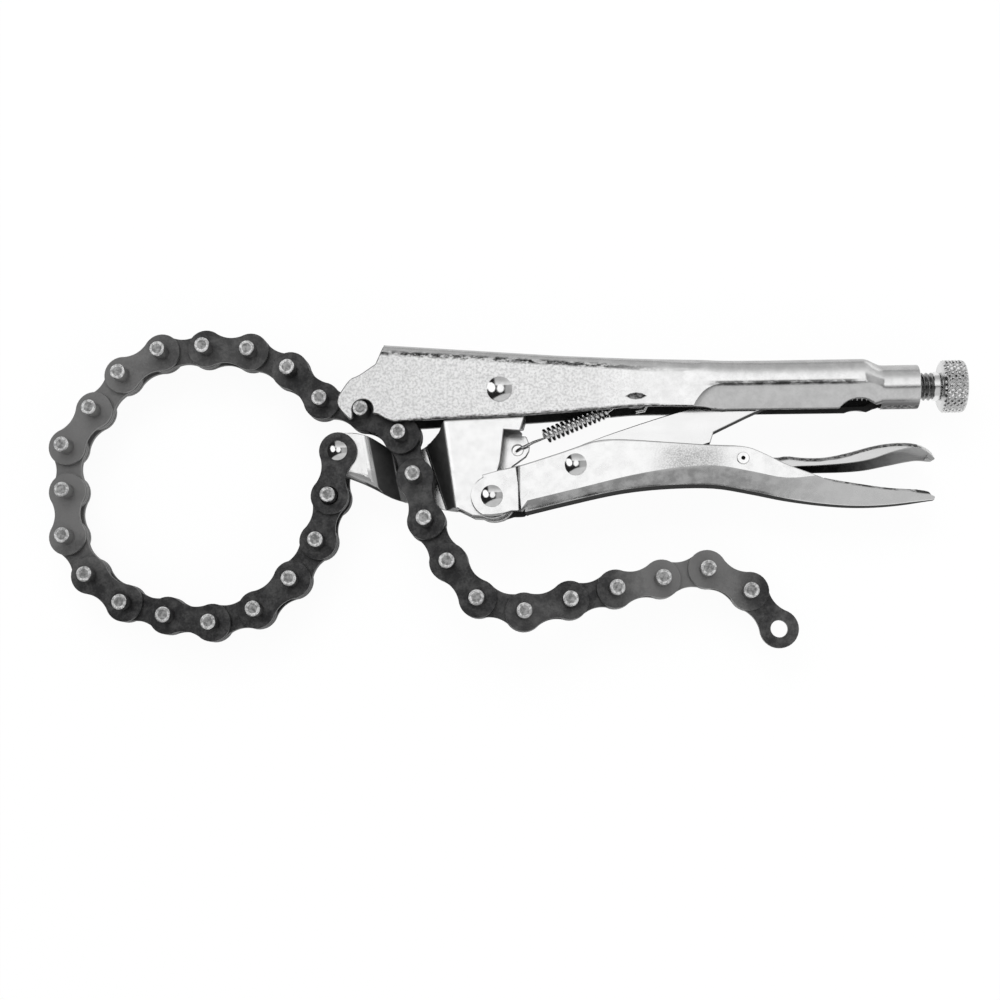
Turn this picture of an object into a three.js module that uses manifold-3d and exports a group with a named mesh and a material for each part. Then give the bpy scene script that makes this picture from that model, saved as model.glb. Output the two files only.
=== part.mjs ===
// Locking chain clamp, lying on its side. Millimetres, Z up, X along the handles towards the knob,
// Y across them. The origin is the main pivot's axis on the table.
import * as THREE from 'three';
import { mergeVertices } from 'three/addons/utils/BufferGeometryUtils.js';
import Module from 'manifold-3d';

const wasm = await Module();
wasm.setup();

// Shared sizes
const clearance = 0.3;
const overrun = 4;
const roundSteps = 16;

// Upper handle: one folded sheet
const handleLength = 142;
const handleHalfWidth = 8.8;
const handleSheet = 2.3;
const handleTop = 9.6;
const handleBottom = 8.6;
const cheekTop = 17.8;
const cheekFold = 2.6;
const gripTopFold = 5;
const gripBottomFold = 7.4;
const flangeSlotHalf = 3.6;
const tubeRadius = 7.5;
const tubeRise = 0.5;
const tubeLength = 12.5;
const reliefRadius = 4.2;
const upperUnit = handleLength / 142;
// Outlines below are in 142nds of the handle's length, chosen by hand from the photograph.
const cheekFrontShares = [[-38.4, 22], [-40.9, 14.3], [-42.9, 9.5], [-48.5, 5.7], [-51.6, 4.2], [-54.3, 0.6],
  [-55.7, -2], [-55.7, -5], [-53.6, -7.8], [-51.6, -9.6], [-50.6, -9.4]];
const cheekBottomShares = [[-41.6, -8.2], [-39.4, -9.6], [-36.2, -10.8], [-18.3, -9.9], [8.4, -9], [34.2, -7.4],
  [47.7, -6.5], [66.9, -6.8], [71, -7.4], [76, -8.5], [78, -16]];
const ridgeShares = [[-60, 18.2], [-39.3, 16.6], [-2.3, 13.7], [21, 11.9], [48, 10.5], [68.3, 10]];
const foldStartShare = 67;
const foldEndShare = 76;
const shoulderShare = 124.5;
const reliefShare = 122.6;
const lensShares = [46.4, -3.1];
const lensHalfLength = 3;
const lensHalfHeight = 0.9;
const tangHalfWidth = 2.4;
const tangSheet = 1.5;
const tangReach = 7.2;
const chainReliefDepth = 1.1;
const chainReliefShares = [[-45, -8.6], [-38, -6.6], [-28, -6.6], [-26, -12], [-45, -12]];

// Screw and knob
const screwRadius = 4.8;
const collarLength = 1.2;
const collarGap = 6.3;
const knobRadius = 9;
const knobLength = 9.4;
const knobRound = 1.1;
const screwTipRadius = 3.4;

// Rivets
const mainRivetRadius = 3;
const mainHeadRadius = 4.3;
const rivetRadius = 2.5;
const rivetHeadRadius = 3.7;
const headHeight = 1.2;
const headEdgeShare = 0.5;
const headRoundShare = 0.92;
const headCrownShare = 0.62;
const anchorRadius = 2.3;
const anchorHeadRadius = 3.4;
const leverPinRadius = 1.5;
const leverHeadRadius = 2.1;

// Jaw
const jawHalfWidth = 6.1;
const jawSheet = 2.3;
const jawLength = 56;
const jawUnit = jawLength / 56;
const noseHalfWidth = 3.1;
const neckSet = 1.5;
const neckFloor = jawSheet - jawHalfWidth - neckSet;
const neckLean = -0.25;
const foldSlantShare = 0.9;
const anchorShares = [-56.2, -20];
const jawRivetShares = [-2.6, -36.8];
const jawEyeRadius = 8;
const jawLobeRadius = 7.4;
const noseTopShares = [[-51.6, -13.4], [-48.6, -13.9]];
const cheekFrontTopShares = [[-14, -4]];
const jawRearShares = [[8.2, -9.3], [6.7, -13.8], [6.9, -39.9]];
const jawBottomShares = [[-9.4, -43], [-14.6, -40.4], [-20, -39.5], [-28, -37.8], [-34, -36.7], [-38.7, -35.3],
  [-46, -31.6], [-52.6, -28.9]];
const noseEndShares = [[-58.8, -27], [-61.6, -23.6], [-62.4, -20], [-61.6, -16.2], [-58.6, -13.4]];
// The neck lies where the chain crosses it, so its folds and its dip are set out from two of the chain's pins:
// offsets in mm along X with the share of the rise, and offsets in X and Y.
const neckFoldPin = 22;
const nearFoldOffsets = [[-17.1, 1], [-14.3, 0.9], [-11.3, 0.5], [-8.5, 0.12], [-6.1, 0]];
const farFoldOffsets = [[4.9, 0], [6.3, 0.08], [9.1, 0.6], [11.1, 0.92], [13.1, 1]];
const noseStepOffset = -19.7;
const webReachOffset = -7.1;
const neckDipPin = 21;
const neckDipOffsets = [[-11.3, 0.1], [-7.8, -1.7], [-4.2, -3.7], [3.8, -3.9], [7.3, -1.9], [12.4, 1.3], [14, 4.5]];
const windowShares = [[1.2, -13.4], [13, -14.4], [13, -28.6], [-1, -28.2], [0, -24.4]];
const farWindowShares = [[5.9, -12], [8.6, -14.6], [9.6, -17.2], [9.4, -19.4], [8.3, -21.4], [3.6, -24.8],
  [2.4, -27], [3, -29.4], [13, -30.4], [13, -11]];
const lugShares = [[4, -12.4], [8.4, -14.4], [9.6, -17.2], [9.4, -19.4], [8.3, -21.4], [3.6, -24.8], [0, -24]];
const lugHoleShares = [5.4, -19];
const lugHoleRadius = 1.9;

// Lower handle
const gripLength = 148;
const gripUnit = gripLength / 148;
const earHalfWidth = 8.6;
const gripHalfWidth = 8;
const gripSheet = 2;
const gripFold = 3.4;
const earRadius = 7.2;
const gripTopShares = [[-3.4, 7.3], [3, 9], [10.9, 10.9], [23.1, 14.7], [34.3, 18.4], [41, 19.1], [50.2, 18.7],
  [71.3, 17], [84.6, 16.2], [91, 14], [98.4, 10.2], [106.3, 7.1], [111.5, 5.2], [121.8, 3.4], [133.2, 1.8],
  [145, 1.1], [147.6, -0.3]];
const gripKeelShares = [[148, -1.8], [133.6, -3.5], [121.9, -3.8], [110.4, -2.9], [98.6, -1.1], [86.9, 1.5],
  [74.9, 3.6], [59.1, 3.6], [43.3, 2], [26.6, -1.5], [11, -5.2]];
const gripOutsideShares = [[160, -1.8], [160, -30], [11, -30], [11, -5.2], [6.6, -5.2]];
const mouthShares = [[-20, -30], [11, -30], [11, 30], [-20, 30]];
const tailWallShares = [[145.5, -20], [170, -20], [170, 20], [145.5, 20]];
const earBackShare = 12.6;
const gripWaistShare = 16;
const toggleShares = [28.4, 10.6];
const leverShares = [84.6, 12.1];

// Toggle link, in shares along the line from its rivet to the screw's tip
const linkHalfWidth = 3;
const linkDepth = 6.4;
const linkBossRadius = 5.4;
const linkLength = 80;
const linkHeelShare = 0.96;
const linkTipShare = 0.3;
const linkUpperShares = [[0.06, 1.02], [0.2, 1.04], [0.45, 0.94], [0.72, 0.66], [0.95, 0.5]];
const linkLowerShares = [[0.95, -0.46], [0.8, -0.5], [0.6, -0.76], [0.575, -1], [0.3, -1.02], [0.06, -0.98]];

// Release lever
const leverHalfWidth = 5.6;
const leverPadHalfWidth = 7.2;
const leverSheet = 1.6;
const leverLength = 64;
const leverUnit = leverLength / 64;
const leverTopShares = [[-11, 3.6], [-4, 4.4], [4, 3.2], [8, 1.4], [11, 0.7], [15, 1.2], [20, 0.6], [27.6, 0.5],
  [35, 1.8], [42.6, 3.8], [47.6, 4.7], [52.6, 5], [57.5, 4.6], [62.4, 2.7], [64.5, -0.2]];
const leverBottomShares = [[63.6, -0.6], [56.2, 1.9], [49.5, 0.1], [42.2, -2], [34.5, -2.9], [25, -3.2],
  [18, -3.4], [10, -4.4], [4, -4.6], [-4, -4.2], [-11, -0.6]];
const leverUnderShares = [[70, -20], [-16, -20], [-16, 2]];
const padShares = [[-12, 0], [22, 0], [30, 1], [58, 1], [66, 0.8]];

// Return spring
const springRadius = 2.2;
const wireRadius = 0.45;
const springCurls = 14;
const springFootShares = [15, -15.2];
const springHeadShares = [36.6, -6.3];
const curlSteps = 8;
const wireSides = 5;

// Chain
const pitch = 15.875;
const plateEndRadius = 6.5;
const plateWaist = 4.4;
const plateSheet = 1.4;
const innerWidth = 2.6;
const sideGap = 0.5;
const endLinkGap = 0.45;
const pinRadius = 2.65;
const pinHalfLength = 9;
const pinChamfer = 0.4;
const pinGap = 0.35;
const seatGap = 0.95;
const eyeRadius = 2.9;
const pinSides = 12;
const seatShares = [-47.1, -6.5];
const loopHeadings = [-100, -105, -124, -140, -164, 171, 164, 143, 122, 93, 93, 55, 52, 30, 4, -5, -26, -44, -17];
const tailHeadings = [-33, -72, -75, -61, -51, -16.5, 14.5, 14, 12.5, 12, -28, -52];
const tailLift = 6.8;
const liftPeakPin = 24.5;
const liftRunUp = 6;
const liftRunOut = 6.5;

// Worked out from the sizes above
const restHeight = handleHalfWidth + clearance + headHeight;
const outerLinkHalf = innerWidth / 2 + sideGap + plateSheet;
const scaled = (shares, unit) => shares.map(([x, y]) => [x * unit, y * unit]);
const pointAt = ([x, y], unit) => [x * unit, y * unit];
const seat = pointAt(seatShares, upperUnit);
const anchor = pointAt(anchorShares, jawUnit);
const jawRivet = pointAt(jawRivetShares, jawUnit);
const gripPoint = ([x, y]) => [jawRivet[0] + x * gripUnit, jawRivet[1] + y * gripUnit];
const toggleRivet = gripPoint(toggleShares);
const leverPin = gripPoint(leverShares);

// Helpers
const solid = (geometry) => {
  const bare = geometry.clone();
  bare.deleteAttribute('normal');
  bare.deleteAttribute('uv');
  const merged = mergeVertices(bare, 1e-4);
  return new wasm.Manifold(new wasm.Mesh({
    numProp: 3,
    vertProperties: new Float32Array(merged.attributes.position.array),
    triVerts: new Uint32Array(merged.index.array),
  }));
};

const geometryOf = (manifold) => {
  const mesh = manifold.getMesh();
  const geometry = new THREE.BufferGeometry();
  geometry.setAttribute('position', new THREE.BufferAttribute(mesh.vertProperties, 3));
  geometry.setIndex(new THREE.BufferAttribute(mesh.triVerts, 1));
  return geometry;
};

const joined = (solids) => solids.reduce((all, next) => all.add(next));

// A flat piece with the outline given in X and Y, from one height to another.
const slab = (points, low, high) => {
  const shape = new THREE.Shape(points.map(([x, y]) => new THREE.Vector2(x, y)));
  const geometry = new THREE.ExtrudeGeometry(shape, { depth: high - low, bevelEnabled: false });
  return solid(geometry.translate(0, 0, low));
};

const drum = ([x, y], radius, low, high, sides = roundSteps) => {
  const geometry = new THREE.CylinderGeometry(radius, radius, high - low, sides);
  return solid(geometry.rotateX(Math.PI / 2).translate(x, y, (low + high) / 2));
};

const arc = ([x, y], radius, fromDegrees, toDegrees, steps) =>
  Array.from({ length: steps + 1 }, (_, i) => {
    const angle = THREE.MathUtils.degToRad(fromDegrees + (toDegrees - fromDegrees) * i / steps);
    return [x + radius * Math.cos(angle), y + radius * Math.sin(angle)];
  });

// The height of a broken line of [x, y] points at one x.
const heightAt = (line, x) => {
  const sorted = [...line].sort((a, b) => a[0] - b[0]);
  if (x <= sorted[0][0]) return sorted[0][1];
  for (let i = 1; i < sorted.length; i += 1) {
    const [x0, y0] = sorted[i - 1];
    const [x1, y1] = sorted[i];
    if (x <= x1) return y0 + (y1 - y0) * (x - x0) / (x1 - x0);
  }
  return sorted[sorted.length - 1][1];
};

// A ring in Y and Z: a box with round corners, the same number of points for every size.
const cornerSteps = 5;
const roundBox = (top, bottom, half, topRound, bottomRound) => [
  ...arc([half - topRound, top - topRound], topRound, 0, 90, cornerSteps),
  ...arc([-(half - topRound), top - topRound], topRound, 90, 180, cornerSteps),
  ...arc([-(half - bottomRound), bottom + bottomRound], bottomRound, 180, 270, cornerSteps),
  ...arc([half - bottomRound, bottom + bottomRound], bottomRound, 270, 360, cornerSteps),
];

// A solid through rings, each one an x and a list of [z, y] points.
const loft = (rings) => {
  const count = rings[0].ring.length;
  const positions = rings.flatMap(({ x, ring }) => ring.flatMap(([z, y]) => [x, y, z]));
  const index = [];
  for (let i = 0; i < rings.length - 1; i += 1) {
    for (let j = 0; j < count; j += 1) {
      const a = i * count + j;
      const b = i * count + (j + 1) % count;
      index.push(a, a + count, b, b, a + count, b + count);
    }
  }
  const last = (rings.length - 1) * count;
  for (let j = 1; j < count - 1; j += 1) {
    index.push(0, j, j + 1, last, last + j + 1, last + j);
  }
  const geometry = new THREE.BufferGeometry();
  geometry.setAttribute('position', new THREE.Float32BufferAttribute(positions, 3));
  geometry.setIndex(index);
  const made = solid(geometry);
  if (made.volume() > 0) return made;
  geometry.setIndex(index.map((_, i) => index[3 * Math.floor(i / 3) + 2 - i % 3]));
  return solid(geometry);
};

// A bar between two points with a tapered edge at both ends, as a profile turned round its axis.
const turned = (profile, sides = roundSteps) => {
  const points = [[0, profile[0][1]], ...profile, [0, profile[profile.length - 1][1]]];
  return solid(new THREE.LatheGeometry(points.map(([r, h]) => new THREE.Vector2(r, h)), sides));
};

const alongZ = (piece) => piece.rotate([90, 0, 0]);
const alongX = (piece) => piece.rotate([0, 0, -90]);

// Upper handle
const ridge = scaled(ridgeShares, upperUnit);
const tailX = handleLength;
const shoulderX = shoulderShare * upperUnit;
const tubeX = tailX - tubeLength;

const handleBody = (inset, reach) => {
  const box = (x, top, bottom, half, topRound, bottomRound) => ({
    x,
    ring: roundBox(top - inset, bottom + inset, half - inset, topRound - inset, bottomRound - inset),
  });
  const front = ridge.map(([x, top]) =>
    box(x, top, -cheekTop, handleHalfWidth, cheekFold + clearance, cheekFold + clearance));
  const grip = [foldEndShare * upperUnit, shoulderX].map((x) =>
    box(x, handleTop, -handleBottom, handleHalfWidth, gripTopFold, gripBottomFold));
  const tube = [tubeX, tailX + reach].map((x) =>
    box(x, tubeRise + tubeRadius, tubeRise - tubeRadius, tubeRadius, tubeRadius, tubeRadius));
  const foldX = foldStartShare * upperUnit;
  const bendRound = cheekFold + clearance;
  const bend = box(foldX, heightAt(ridge, foldX), -handleBottom - overrun, handleHalfWidth, bendRound, bendRound);
  return loft([...front.filter(({ x }) => x < foldX), bend, ...grip, ...tube]);
};

const upperHandle = () => {
  const tall = handleHalfWidth + overrun;
  const seatArc = arc(seat, pinRadius + seatGap, 200, -20, 8);
  const outline = [
    ...scaled(cheekFrontShares, upperUnit),
    ...seatArc,
    ...scaled(cheekBottomShares, upperUnit),
    [tailX, -cheekTop - overrun],
    [tailX, cheekTop + overrun],
  ];
  const slotLow = -handleBottom - overrun;
  const slot = slab([
    [foldStartShare * upperUnit - overrun, slotLow],
    [tubeX - clearance, slotLow],
    [tubeX - clearance, -handleBottom / 2],
    [foldStartShare * upperUnit - overrun, -handleBottom / 2],
  ], -flangeSlotHalf, flangeSlotHalf);
  const [lensX, lensY] = pointAt(lensShares, upperUnit);
  const lens = slab([
    [lensX - lensHalfLength, lensY],
    [lensX, lensY - lensHalfHeight],
    [lensX + lensHalfLength, lensY],
    [lensX, lensY + lensHalfHeight],
  ], 0, tall);
  const tang = slab([
    [lensX - tangHalfWidth, lensY - lensHalfHeight - tangSheet],
    [lensX + tangHalfWidth, lensY - lensHalfHeight - tangSheet],
    [lensX + tangHalfWidth, lensY - lensHalfHeight],
    [lensX - tangHalfWidth, lensY - lensHalfHeight],
  ], handleHalfWidth - handleSheet - tangReach, handleHalfWidth - handleSheet / 2);
  const relief = drum([reliefShare * upperUnit, -handleBottom - clearance], reliefRadius, -tall, tall);
  const inner = handleHalfWidth - handleSheet;
  const chainRelief = slab(scaled(chainReliefShares, upperUnit).reverse(), 0, inner + chainReliefDepth);
  return handleBody(0, 0)
    .subtract(handleBody(handleSheet, overrun))
    .intersect(slab(outline, -tall, tall))
    .subtract(chainRelief)
    .subtract(slot)
    .subtract(relief)
    .subtract(lens)
    .subtract(drum([0, 0], mainRivetRadius + clearance, -tall, tall))
    .add(tang);
};

// Toggle link and the line that it follows
const linkRise = tubeRise - toggleRivet[1];
const linkAngle = Math.asin(linkRise / linkLength);
const linkEnd = [toggleRivet[0] + linkLength * Math.cos(linkAngle), tubeRise];

const toggleLink = () => {
  const along = ([s, h]) => [s * linkLength, h * linkDepth];
  const outline = [
    ...arc([0, 0], linkDepth * linkHeelShare, 250, 110, 8),
    ...linkUpperShares.map(along),
    [linkLength, linkDepth * linkTipShare],
    [linkLength, -linkDepth * linkTipShare],
    ...linkLowerShares.map(along),
  ];
  const bossHalf = gripHalfWidth - gripSheet - clearance;
  return slab(outline, -linkHalfWidth, linkHalfWidth)
    .add(drum([0, 0], linkBossRadius, -bossHalf, bossHalf))
    .subtract(drum([0, 0], rivetRadius + clearance, -bossHalf - overrun, bossHalf + overrun))
    .rotate([0, 0, THREE.MathUtils.radToDeg(linkAngle)])
    .translate([...toggleRivet, 0]);
};

// Screw and knob
const knobX = tailX + collarGap;
const screwShank = () => {
  const tip = linkEnd[0] + 2 * clearance + linkDepth * linkTipShare * Math.sin(linkAngle);
  return alongX(turned([
    [screwTipRadius, tip],
    [screwRadius, tip + screwRadius - screwTipRadius],
    [screwRadius, knobX - collarLength],
    [screwRadius + collarLength / 2, knobX - collarLength],
    [screwRadius + collarLength / 2, knobX - clearance],
    [screwTipRadius, knobX - clearance],
    [screwTipRadius, knobX + knobLength / 2],
  ])).translate([0, tubeRise, 0]);
};

const knob = () => {
  const body = alongX(turned([
    [knobRadius - knobRound, knobX],
    [knobRadius, knobX + knobRound],
    [knobRadius, knobX + knobLength - knobRound],
    [knobRadius - knobRound, knobX + knobLength],
  ], 2 * roundSteps));
  const socket = alongX(turned([
    [screwTipRadius + clearance, knobX - overrun],
    [screwTipRadius + clearance, knobX + knobLength / 2 + clearance],
  ]));
  return body.subtract(socket).translate([0, tubeRise, 0]);
};

// Rivets: a shank with a domed head at both ends
const rivet = ([x, y], radius, headRadius, faceHalf) => {
  const base = faceHalf + clearance;
  const crown = base + headHeight;
  const half = [
    [radius, 0],
    [radius, base],
    [headRadius, base],
    [headRadius * headRoundShare, base + headHeight * headEdgeShare],
    [headRadius * headCrownShare, crown],
  ];
  const lower = half.slice(1).reverse().map(([r, h]) => [r, -h]);
  return alongZ(turned([...lower, ...half.slice(1)])).translate([x, y, 0]);
};

// Jaw
const sheared = (points, low, high) => {
  const middle = chainPins[neckFoldPin - 1].y;
  const shape = new THREE.Shape(points.map(([x, z]) => new THREE.Vector2(x, z)));
  const geometry = new THREE.ExtrudeGeometry(shape, { depth: high - low, bevelEnabled: false });
  geometry.rotateX(Math.PI / 2).translate(0, high, 0);
  const position = geometry.attributes.position;
  for (let i = 0; i < position.count; i += 1) {
    position.setX(i, position.getX(i) + neckLean * (position.getY(i) - middle));
  }
  return solid(geometry);
};

const jaw = () => {
  const back = jawLength;
  const front = -2 * jawLength;
  const low = -2 * jawLength;
  const high = jawLength;
  const foldPin = chainPins[neckFoldPin - 1];
  const dipPin = chainPins[neckDipPin - 1];
  const foldX = (offset) => foldPin.x + offset;
  const noseRise = noseHalfWidth - neckFloor;
  const cheekRise = jawHalfWidth - neckFloor;
  const nearTop = [
    [front, noseHalfWidth],
    ...nearFoldOffsets.map(([x, h]) => [foldX(x), neckFloor + h * noseRise]),
    ...farFoldOffsets.map(([x, h]) => [foldX(x), neckFloor + h * cheekRise]),
    [back, jawHalfWidth],
  ];
  const slant = foldSlantShare * jawSheet;
  const nearUnder = [
    [back, jawHalfWidth - jawSheet],
    [foldX(farFoldOffsets[4][0]) + slant / 2, jawHalfWidth - jawSheet],
    [foldX(farFoldOffsets[2][0]) + slant, neckFloor + farFoldOffsets[2][1] * cheekRise - slant / 2],
    [foldX(farFoldOffsets[0][0]) + slant, neckFloor - jawSheet / 2],
    [foldX(farFoldOffsets[0][0]), neckFloor - jawSheet],
    [foldX(nearFoldOffsets[4][0]), neckFloor - jawSheet],
    [foldX(nearFoldOffsets[4][0]) - slant, neckFloor - jawSheet / 2],
    [foldX(nearFoldOffsets[2][0]) - slant, neckFloor + nearFoldOffsets[2][1] * noseRise - slant / 2],
    [foldX(nearFoldOffsets[0][0]), noseHalfWidth - jawSheet],
    [front, noseHalfWidth - jawSheet],
  ];
  const nearSheet = sheared([...nearTop, ...nearUnder], low, high);
  const stepFront = foldX(noseStepOffset);
  const farSheet = sheared([
    [back, -jawHalfWidth],
    [foldX(farFoldOffsets[3][0]), -jawHalfWidth],
    [foldX(farFoldOffsets[0][0]), neckFloor - jawSheet],
    [foldX(nearFoldOffsets[4][0]), neckFloor - jawSheet],
    [stepFront, -noseHalfWidth],
    [front, -noseHalfWidth],
    [front, -noseHalfWidth + jawSheet],
    [stepFront, -noseHalfWidth + jawSheet],
    [foldX(nearFoldOffsets[4][0]), neckFloor],
    [foldX(farFoldOffsets[0][0]), neckFloor],
    [foldX(farFoldOffsets[3][0]), -jawHalfWidth + jawSheet],
    [back, -jawHalfWidth + jawSheet],
  ], low, high);
  const outline = [
    ...scaled(noseTopShares, jawUnit),
    ...neckDipOffsets.map(([x, y]) => [dipPin.x + x, dipPin.y + y]),
    ...scaled(cheekFrontTopShares, jawUnit),
    ...arc([0, 0], jawEyeRadius * jawUnit, 150, 10, 8),
    ...scaled(jawRearShares, jawUnit),
    ...arc(jawRivet, jawLobeRadius * jawUnit, -25, -120, 5),
    ...scaled(jawBottomShares, jawUnit),
    ...scaled(noseEndShares, jawUnit),
  ];
  const tall = jawHalfWidth + overrun;
  const side = slab(outline, -tall, tall);
  const inside = sheared([
    [foldX(webReachOffset), neckFloor - jawSheet],
    [stepFront, -noseHalfWidth],
    [front, -noseHalfWidth],
    ...nearTop.slice(0, 6),
  ], low, high);
  const webTop = scaled(jawBottomShares, jawUnit).slice(3);
  const web = slab([
    ...webTop.map(([x, y]) => [x, y + jawSheet]).reverse(),
    ...webTop.map(([x, y]) => [x, y - overrun]),
    [scaled(noseEndShares, jawUnit)[0][0], webTop[4][1] - overrun],
    [scaled(noseEndShares, jawUnit)[0][0], webTop[4][1] + jawSheet],
  ].reverse(), -tall, tall).intersect(inside);
  const noseBoss = drum(anchor, anchorRadius + clearance + jawSheet / 2, -noseHalfWidth, noseHalfWidth);
  const nearWindow = slab(scaled(windowShares, jawUnit), 0, tall);
  const farWindow = slab(scaled(farWindowShares, jawUnit), -tall, 0);
  const lug = slab(scaled(lugShares, jawUnit).reverse(), -jawHalfWidth, -jawHalfWidth + jawSheet);
  return joined([nearSheet, farSheet, web])
    .intersect(side)
    .subtract(nearWindow)
    .subtract(farWindow)
    .add(lug)
    .add(noseBoss)
    .subtract(drum(pointAt(lugHoleShares, jawUnit), lugHoleRadius, -tall, 0))
    .subtract(drum([0, 0], mainRivetRadius + clearance, -tall, tall))
    .subtract(drum(jawRivet, rivetRadius + clearance, -tall, tall))
    .subtract(drum(anchor, anchorRadius + clearance, -tall, tall));
};

// Lower handle
const gripStationShares = [-12, earBackShare, gripWaistShare, 30, 45, 60, 75, 90, 100, 111, 122, 134, 143, 149];
const gripNarrowing = [[140, 1], [143, 0.92], [149, 0.8]];
const gripWidthAt = (share) => {
  if (share <= earBackShare) return earHalfWidth;
  return gripHalfWidth * heightAt(gripNarrowing, share);
};

const gripBody = (inset, reach) => {
  const keel = gripKeelShares.map(gripPoint);
  return loft(gripStationShares.map((share) => {
    const tail = share > gripStationShares[gripStationShares.length - 2];
    const x = gripPoint([share, 0])[0] + (tail ? reach : 0) - (share < 0 ? reach : 0);
    const half = gripWidthAt(share) - inset;
    return {
      x,
      ring: roundBox(overrun, heightAt(keel, x) + inset, half, cheekFold - gripSheet, gripFold - inset),
    };
  }));
};

const lowerHandle = () => {
  const tall = earHalfWidth + overrun;
  const outline = [
    ...gripTopShares.map(gripPoint),
    ...gripOutsideShares.map(gripPoint),
    ...arc(jawRivet, earRadius, 304, 116, 10),
  ];
  const mouth = slab(mouthShares.map(gripPoint), -earHalfWidth + gripSheet, earHalfWidth - gripSheet);
  return gripBody(0, 0)
    .subtract(gripBody(gripSheet, overrun).subtract(slab(tailWallShares.map(gripPoint), -tall, tall)))
    .intersect(slab(outline.reverse(), -tall, tall))
    .subtract(mouth)
    .subtract(drum(jawRivet, rivetRadius + clearance, -tall, tall))
    .subtract(drum(toggleRivet, rivetRadius + clearance, -tall, tall))
    .subtract(drum(leverPin, leverPinRadius + clearance, -tall, tall));
};

// Release lever
const releaseLever = () => {
  const tall = leverPadHalfWidth + overrun;
  const place = ([x, y]) => [leverPin[0] + x * leverUnit, leverPin[1] + y * leverUnit];
  const outline = [...leverTopShares, ...leverBottomShares].map(place);
  const top = leverTopShares.map(place);
  const body = (inset, reach) => loft(padShares.map(([share, wide], i) => {
    const x = place([share, 0])[0] + (i === padShares.length - 1 ? reach : 0);
    const half = leverHalfWidth + (leverPadHalfWidth - leverHalfWidth) * wide - inset;
    return { x, ring: roundBox(overrun, -leverLength, half, leverSheet, leverSheet) };
  }));
  const under = slab([
    ...top.map(([x, y]) => [x, y - leverSheet]),
    ...leverUnderShares.map(place),
  ].reverse(), -tall, tall);
  return body(0, 0)
    .intersect(slab(outline.reverse(), -tall, tall))
    .subtract(body(leverSheet, -overrun).intersect(under))
    .subtract(drum(leverPin, leverPinRadius + clearance, -tall, tall));
};

// Return spring: hook in the jaw's lug, curls, hook over the handle's tang
const springPath = () => {
  const foot = pointAt(springFootShares, jawUnit);
  const head = pointAt(springHeadShares, upperUnit);
  const lugHole = pointAt(lugHoleShares, jawUnit);
  const [lensX, lensY] = pointAt(lensShares, upperUnit);
  const run = new THREE.Vector3(head[0] - foot[0], head[1] - foot[1], 0);
  const length = run.length();
  const along = run.clone().normalize();
  const across = new THREE.Vector3(0, 0, 1).cross(along);
  const lugMiddle = -jawHalfWidth + jawSheet / 2;
  const hookRise = jawSheet / 2 + 2 * wireRadius;
  const points = [
    new THREE.Vector3(lugHole[0] - lugHoleRadius / 3, lugHole[1] - wireRadius, lugMiddle - hookRise),
    new THREE.Vector3(lugHole[0], lugHole[1], lugMiddle),
    new THREE.Vector3(lugHole[0] + lugHoleRadius / 3, lugHole[1] + wireRadius, lugMiddle + hookRise),
    new THREE.Vector3((lugHole[0] + foot[0]) / 2, (lugHole[1] + foot[1]) / 2, (lugMiddle - springRadius) / 2),
  ];
  const total = springCurls * curlSteps;
  for (let i = 0; i <= total; i += 1) {
    const angle = -Math.PI / 2 + 2 * Math.PI * i / curlSteps;
    points.push(new THREE.Vector3(foot[0], foot[1], 0)
      .addScaledVector(along, length * i / total)
      .addScaledVector(across, springRadius * Math.cos(angle))
      .add(new THREE.Vector3(0, 0, springRadius * Math.sin(angle))));
  }
  const under = lensY - lensHalfHeight - tangSheet - 2 * wireRadius;
  const over = lensY - lensHalfHeight + 2 * wireRadius;
  const hookX = lensX + tangHalfWidth + 2 * wireRadius;
  points.push(
    new THREE.Vector3(lensX - tangHalfWidth, over + wireRadius, 0),
    new THREE.Vector3(lensX, over, 0),
    new THREE.Vector3(hookX, over - wireRadius, 0),
    new THREE.Vector3(hookX + wireRadius, (over + under) / 2, 0),
    new THREE.Vector3(hookX - wireRadius, under, 0),
    new THREE.Vector3(lensX, under - wireRadius, 0),
  );
  return points;
};

const returnSpring = () => {
  const points = springPath();
  const fan = wireSides;
  const positions = [];
  const index = [];
  let side = new THREE.Vector3(0, 1, 0);
  points.forEach((point, i) => {
    const before = points[Math.max(0, i - 1)];
    const after = points[Math.min(points.length - 1, i + 1)];
    const tangent = after.clone().sub(before).normalize();
    side = side.clone().addScaledVector(tangent, -side.dot(tangent)).normalize();
    const other = tangent.clone().cross(side);
    for (let j = 0; j < fan; j += 1) {
      const angle = 2 * Math.PI * j / fan;
      const corner = point.clone()
        .addScaledVector(side, wireRadius * Math.cos(angle))
        .addScaledVector(other, wireRadius * Math.sin(angle));
      positions.push(corner.x, corner.y, corner.z);
    }
  });
  for (let i = 0; i < points.length - 1; i += 1) {
    for (let j = 0; j < fan; j += 1) {
      const a = i * fan + j;
      const b = i * fan + (j + 1) % fan;
      index.push(a, b, a + fan, b, b + fan, a + fan);
    }
  }
  const last = (points.length - 1) * fan;
  for (let j = 1; j < fan - 1; j += 1) {
    index.push(0, j + 1, j, last, last + j, last + j + 1);
  }
  const geometry = new THREE.BufferGeometry();
  geometry.setAttribute('position', new THREE.Float32BufferAttribute(positions, 3));
  geometry.setIndex(index);
  return solid(geometry);
};

const springGap = () => {
  const points = springPath();
  const apart = Math.ceil(curlSteps * 0.6);
  let least = Infinity;
  points.forEach((a, i) => {
    for (let j = i + apart; j < points.length; j += 1) {
      least = Math.min(least, a.distanceTo(points[j]) - 2 * wireRadius);
    }
  });
  return least;
};

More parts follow.
